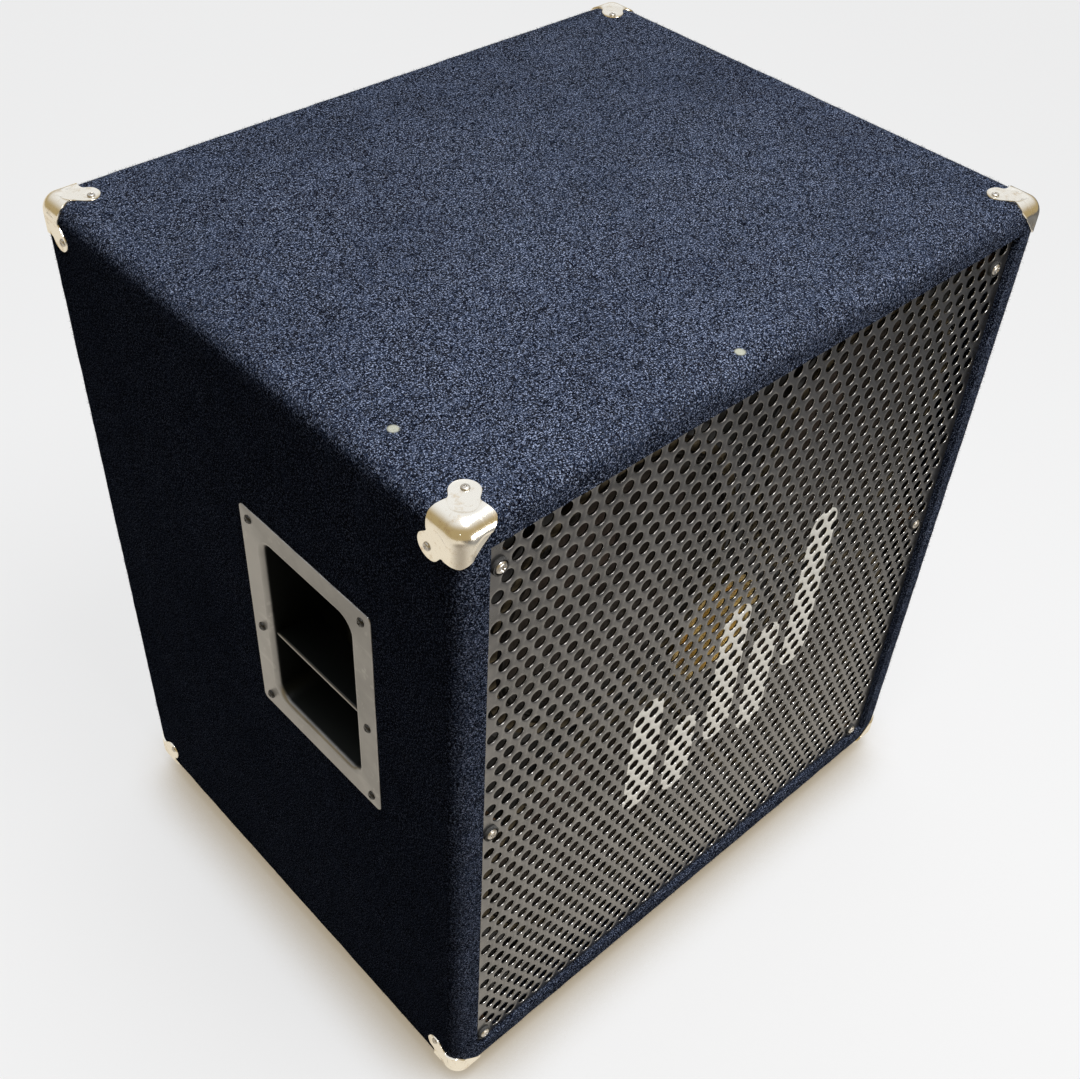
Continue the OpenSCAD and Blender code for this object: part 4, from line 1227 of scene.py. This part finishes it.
def build_carpet_back():
    """The carpet of the back panel, rounded along its seam and open at the jack plate."""
    plate_low, plate_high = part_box("jack_plate")
    hole = (plate_low.x + TUCK, plate_high.x - TUCK, plate_low.z + TUCK, plate_high.z - TUCK)
    rounded = 1.5 * MM
    x_marks = [seam_low.x + rounded, *hole[:2], seam_high.x - rounded]
    z_marks = [seam_low.z + rounded, *hole[2:], seam_high.z - rounded]
    xs = ruled(seam_low.x, seam_high.x, x_marks, 8 * MM)
    zs = ruled(seam_low.z, seam_high.z, z_marks, 8 * MM)
    points, faces = [], []
    index = {}
    for i, x in enumerate(xs):
        for k, z in enumerate(zs):
            edge = min(x - xs[0], xs[-1] - x, z - zs[0], zs[-1] - z)
            y = seam_high.y - 0.9 * MM * (1 - smooth(edge, 0, rounded))
            p = Vector((x, y, z))
            index[i, k] = len(points)
            points.append(p + Vector((0, pile_height(p), 0)))
    for i in range(len(xs) - 1):
        for k in range(len(zs) - 1):
            mid_x, mid_z = 0.5 * (xs[i] + xs[i + 1]), 0.5 * (zs[k] + zs[k + 1])
            if hole[0] < mid_x < hole[1] and hole[2] < mid_z < hole[3]:
                continue
            faces.append((index[i, k], index[i, k + 1], index[i + 1, k + 1], index[i + 1, k]))
    piece = make_piece("carpet_back_pile", points, faces, "carpet", ["carpet_back"], 60.0)
    thicken(piece, 0.8 * CARPET_T)
    return piece


wrap_piece = build_carpet_wrap()
back_piece = build_carpet_back()


# ---------------------------------------------------------------- loose fibres


def outer_skin(piece):
    """Triangles of a carpet piece as arrays: three corners, the normal and the area of each."""
    mesh = piece.data
    mesh.calc_loop_triangles()
    co = np.array([v.co for v in mesh.vertices], float)
    tri = np.array([t.vertices for t in mesh.loop_triangles], int)
    a, b, c = co[tri[:, 0]], co[tri[:, 1]], co[tri[:, 2]]
    normal = np.cross(b - a, c - a)
    area = 0.5 * np.linalg.norm(normal, axis=1)
    normal = normal / np.maximum(2 * area, 1e-12)[:, None]
    return a, b, c, normal, area


FIBRE_L, FIBRE_W = 2.6 * MM, 0.13 * MM


def covered(p):
    """True where a protector, a handle or the jack plate hides the carpet."""
    low = np.array(wrap_low)
    high = np.array(wrap_high)
    inward = np.minimum(p - low, high - p)
    reach = np.sort(inward, axis=1)
    near_corner = np.linalg.norm(inward, axis=1) < REACH + 1 * MM
    middle = np.linalg.norm(reach[:, 1:] - EAR_AT, axis=1) < EAR_R + 1 * MM
    on_front = (p[:, 1] < low[1] + 1 * MM) & ~near_corner
    hidden = near_corner | (middle & ~on_front)
    for node, axis in (("handle_dish_left", 0), ("handle_dish_right", 0), ("jack_plate", 1)):
        box_low, box_high = (np.array(v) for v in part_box(node))
        others = [1, 2] if axis == 0 else [0, 2]
        inside = np.all((p[:, others] > box_low[others]) & (p[:, others] < box_high[others]), axis=1)
        near = (p[:, axis] > box_low[axis]) & (p[:, axis] < box_high[axis] + 2 * MM)
        near |= (p[:, axis] < box_high[axis]) & (p[:, axis] > box_low[axis] - 2 * MM)
        hidden |= inside & near
    return hidden


def grow_fibres(name, skin, count, length, width, lift, seed, material, edge_gain=5.0):
    """Short bent slivers that stand a little off the pile."""
    rng = np.random.default_rng(seed)
    a, b, c, normal, area = skin
    bent = np.max(np.abs(normal), axis=1) < 0.985
    weight = area * np.where(bent, edge_gain, 1.0)
    pick = rng.choice(len(area), size=count, p=weight / weight.sum())
    u, v = rng.random(count), rng.random(count)
    over = u + v > 1
    u[over], v[over] = 1 - u[over], 1 - v[over]
    root = a[pick] + u[:, None] * (b - a)[pick] + v[:, None] * (c - a)[pick]
    out = normal[pick]
    keep = ~covered(root)
    root, out = root[keep], out[keep]
    count = len(root)
    wild = rng.normal(size=(count, 3))
    along = np.cross(out, wild)
    along /= np.linalg.norm(along, axis=1)[:, None]
    side = np.cross(out, along)
    size = length * rng.uniform(0.45, 1.25, count)[:, None]
    stand = lift * rng.uniform(0.15, 1.0, count)[:, None] ** 1.6
    curl = rng.uniform(-0.35, 0.35, count)[:, None]
    half = 0.5 * width * rng.uniform(0.6, 1.3, count)[:, None]
    across = side * half
    middle = root + along * size * 0.5 + side * curl * size * 0.5 + out * size * stand
    droop = rng.uniform(0.6, 1.5, count)[:, None]
    tip = root + along * size + side * curl * size * 1.8 + out * size * stand * droop
    root = root - out * 0.25 * MM
    waist = across * 0.8
    points = np.stack([root - across, root + across, middle + waist, middle - waist, tip], axis=1)
    starts = range(0, 5 * count, 5)
    faces = [(i, i + 1, i + 2, i + 3) for i in starts] + [(i + 3, i + 2, i + 4) for i in starts]
    mesh = bpy.data.meshes.new(name)
    mesh.from_pydata(points.reshape(-1, 3).tolist(), [], faces)
    piece = place_in_scene(name, mesh)
    mesh.materials.append(material)
    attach(piece, "cabinet")
    return piece


def make_fibre(name, dark, light):
    """Strands whose colour varies from one to the next."""
    material, t, shader = new_material(name, roughness=0.8, Specular_IOR_Level=0.02)
    shade = t.surface("Random Per Island")
    cloud = t.noise(t.place(), 120.0, 2.0)
    tone = t.times(t.math("POWER", shade, 2.2), t.plus(cloud, 0.5), clamp=True)
    t.feed(shader, "Base Color", t.mix(tone, dark, light))
    return material


def select(skin, keep):
    """The triangles of a skin that are marked to keep."""
    return tuple(array[keep] for array in skin)


FIBRE = make_fibre("fibre", rgb(0.008, 0.010, 0.020), rgb(0.26, 0.29, 0.38))
LINT = make_fibre("lint", rgb(0.30, 0.31, 0.33), rgb(0.75, 0.76, 0.78))
wrap_skin = outer_skin(wrap_piece)
centre = np.array(0.5 * (wrap_low + wrap_high))
outward = np.einsum("ij,ij->i", wrap_skin[3], wrap_skin[0] - centre) > 0
wrap_skin = select(wrap_skin, outward)
for name, axis, sign, count in (
    ("top", 2, 1, 36000), ("left", 0, -1, 22000), ("right", 0, 1, 30000),
    ("front", 1, -1, 14000), ("back", 1, 1, 8000), ("bottom", 2, -1, 12000),
):
    faces_here = select(wrap_skin, np.argmax(np.abs(wrap_skin[3]), axis=1) == axis)
    faces_here = select(faces_here, faces_here[3][:, axis] * sign > 0)
    seed = 11 + axis + 3 * sign
    grow_fibres("fibres_" + name, faces_here, count, FIBRE_L, FIBRE_W, 0.6, seed, FIBRE)
grow_fibres("fibres_back_panel", outer_skin(back_piece), 12000, FIBRE_L, FIBRE_W, 0.5, 31, FIBRE)
grow_fibres("lint_specks", wrap_skin, 420, 2.2 * MM, 0.2 * MM, 0.2, 41, LINT, 1.0)


# ---------------------------------------------------------------- finishes of the nodes that keep their shape

for node, piece in frame["nodes"].items():
    piece.data.materials.clear()
    piece.data.materials.append(MATERIALS[slot_of[node]])
    piece.data.polygons.foreach_set("use_smooth", [True] * len(piece.data.polygons))
    piece.data.set_sharp_from_angle(angle=math.radians(32))


# ---------------------------------------------------------------- floor, light and camera


FLOOR_BOUNCE = 0.05  # how much light the floor gives back to the cabinet
FLOOR_GLOW = 0.72  # how bright the floor is to the camera
FLOOR_GLOSS = 0.75  # how bright it is in what the metal mirrors
SHADE_AT = (-1.0, -1.0, 0.0)  # where the floor is darkest in what the metal mirrors
HORIZON = (0.022, 0.019, 0.016)
HORIZON_GLOSS = (0.46, 0.36, 0.19)
ZENITH = (0.98, 1.0, 1.04)
CAMERA_AT = (-0.630831, -0.634349, 1.141887)
CAMERA_TURN, CAMERA_TILT, CAMERA_ROLL = (math.radians(a) for a in (-45.057, 43.254, 3.51))
CAMERA_LENS = 46.052  # on a sensor 36 wide


def make_floor():
    """A pale floor that looks one way to the camera and another to what mirrors it, with a painted contact
    shadow round the cabinet.
    """
    material, t, shader = new_material("floor", roughness=0.7, Specular_IOR_Level=0.1)
    cloud = t.noise(t.place(), 1.5, 2.0)
    seen = t.add("ShaderNodeLightPath").outputs
    pale = t.mix(cloud, rgb(0.19, 0.19, 0.19), rgb(0.20, 0.20, 0.20))
    t.feed(shader, "Base Color", t.mix(seen["Is Diffuse Ray"], pale, rgb(*[FLOOR_BOUNCE] * 3)))
    from_shade = t.vector("DISTANCE", t.place(), SHADE_AT, "Value")
    open_floor = t.ramp(from_shade, 0.25, 0.95)
    away = t.vector("DOT_PRODUCT", t.place(), (1.0, -1.0, 0.0), "Value")
    lit_end = t.ramp(away, 1.45, 0.30)
    mirrored = t.mix(open_floor, rgb(0.24, 0.18, 0.11), rgb(1.0, 0.91, 0.76))
    mirrored = t.mix(lit_end, rgb(0.05, 0.045, 0.04), mirrored)
    # painted shadow: where the cabinet shuts out the open air, the floor's glow turns warm brown
    open_air = t.add("ShaderNodeAmbientOcclusion", {"Distance": 0.08}).outputs["AO"]
    floor_with_painted_shadow = t.mix(t.ramp(open_air, 0.40, 0.92), rgb(0.50, 0.42, 0.30), rgb(1.0, 1.0, 1.0))
    t.feed(shader, "Emission Color", t.mix(seen["Is Glossy Ray"], floor_with_painted_shadow, mirrored))
    glow = t.times(seen["Is Camera Ray"], FLOOR_GLOW)
    glow = t.plus(glow, t.times(seen["Is Glossy Ray"], FLOOR_GLOSS))
    t.feed(shader, "Emission Strength", glow)
    size, rows = 14.0, 8
    points, faces = [], []
    for i in range(rows + 1):
        for k in range(rows + 1):
            points.append((size * (i / rows - 0.5), size * (k / rows - 0.5), 0.0))
    for i in range(rows):
        for k in range(rows):
            a = i * (rows + 1) + k
            faces.append((a, a + rows + 1, a + rows + 2, a + 1))
    mesh = bpy.data.meshes.new("floor")
    mesh.from_pydata(points, [], faces)
    mesh.materials.append(material)
    floor = place_in_scene("floor", mesh)


def make_light(name, at, aim, size, power, color=(1, 1, 1)):
    """A softbox at one place, aimed at another."""
    light = bpy.data.lights.new(name, "AREA")
    light.shape = "RECTANGLE"
    light.size, light.size_y = size
    light.energy = power
    light.color = color
    lamp = place_in_scene(name, light)
    lamp.location = at
    lamp.rotation_euler = (Vector(aim) - Vector(at)).to_track_quat("-Z", "Y").to_euler()


def make_world():
    """A dome, bright overhead and near black low down; what the metal mirrors of it is warm there."""
    world = bpy.data.worlds.new("studio")
    world.use_nodes = True
    t = Tree(world.node_tree)
    sky = world.node_tree.nodes["Background"]
    direction = t.add("ShaderNodeTexCoord").outputs["Generated"]
    toward = t.vector("DOT_PRODUCT", direction, (0.33, 0.33, 1.0), "Value")
    dome = t.mix(t.ramp(toward, 0.52, 1.04), rgb(*HORIZON), rgb(*ZENITH))
    seen = t.add("ShaderNodeLightPath").outputs
    mirrored = t.mix(t.ramp(toward, 0.30, 0.98), rgb(*HORIZON_GLOSS), rgb(*ZENITH))
    dome = t.mix(seen["Is Glossy Ray"], dome, mirrored)
    t.feed(sky, "Color", t.mix(seen["Is Camera Ray"], dome, rgb(0.9, 0.9, 0.9)))
    bpy.context.scene.world = world


def make_camera():
    """The camera above the front left corner, looking down at the grille."""
    level = Vector((math.cos(CAMERA_TURN), math.sin(CAMERA_TURN), 0))
    ahead = Vector((-level.y, level.x, 0))
    back = Vector((0, 0, math.sin(CAMERA_TILT))) - math.cos(CAMERA_TILT) * ahead
    steep = back.cross(level)
    right = math.cos(CAMERA_ROLL) * level + math.sin(CAMERA_ROLL) * steep
    up = -math.sin(CAMERA_ROLL) * level + math.cos(CAMERA_ROLL) * steep
    camera = bpy.data.cameras.new("camera")
    camera.sensor_width = 36.0
    camera.lens = CAMERA_LENS
    holder = place_in_scene("camera", camera)
    matrix = Matrix((right, up, back)).transposed().to_4x4()
    matrix.translation = CAMERA_AT
    holder.matrix_world = matrix
    bpy.context.scene.camera = holder


make_floor()
make_world()
make_light("softbox_top", (-0.05, -0.5, 1.8), (-0.12, -0.12, 0.6), (0.6, 0.6), 18)
make_light("softbox_front", (0.55, -2.5, 0.6), (0.0, 0, 0.3), (1.3, 0.7), 20, (1.0, 0.97, 0.93))
make_camera()
bpy.context.scene.view_settings.view_transform = "Standard"
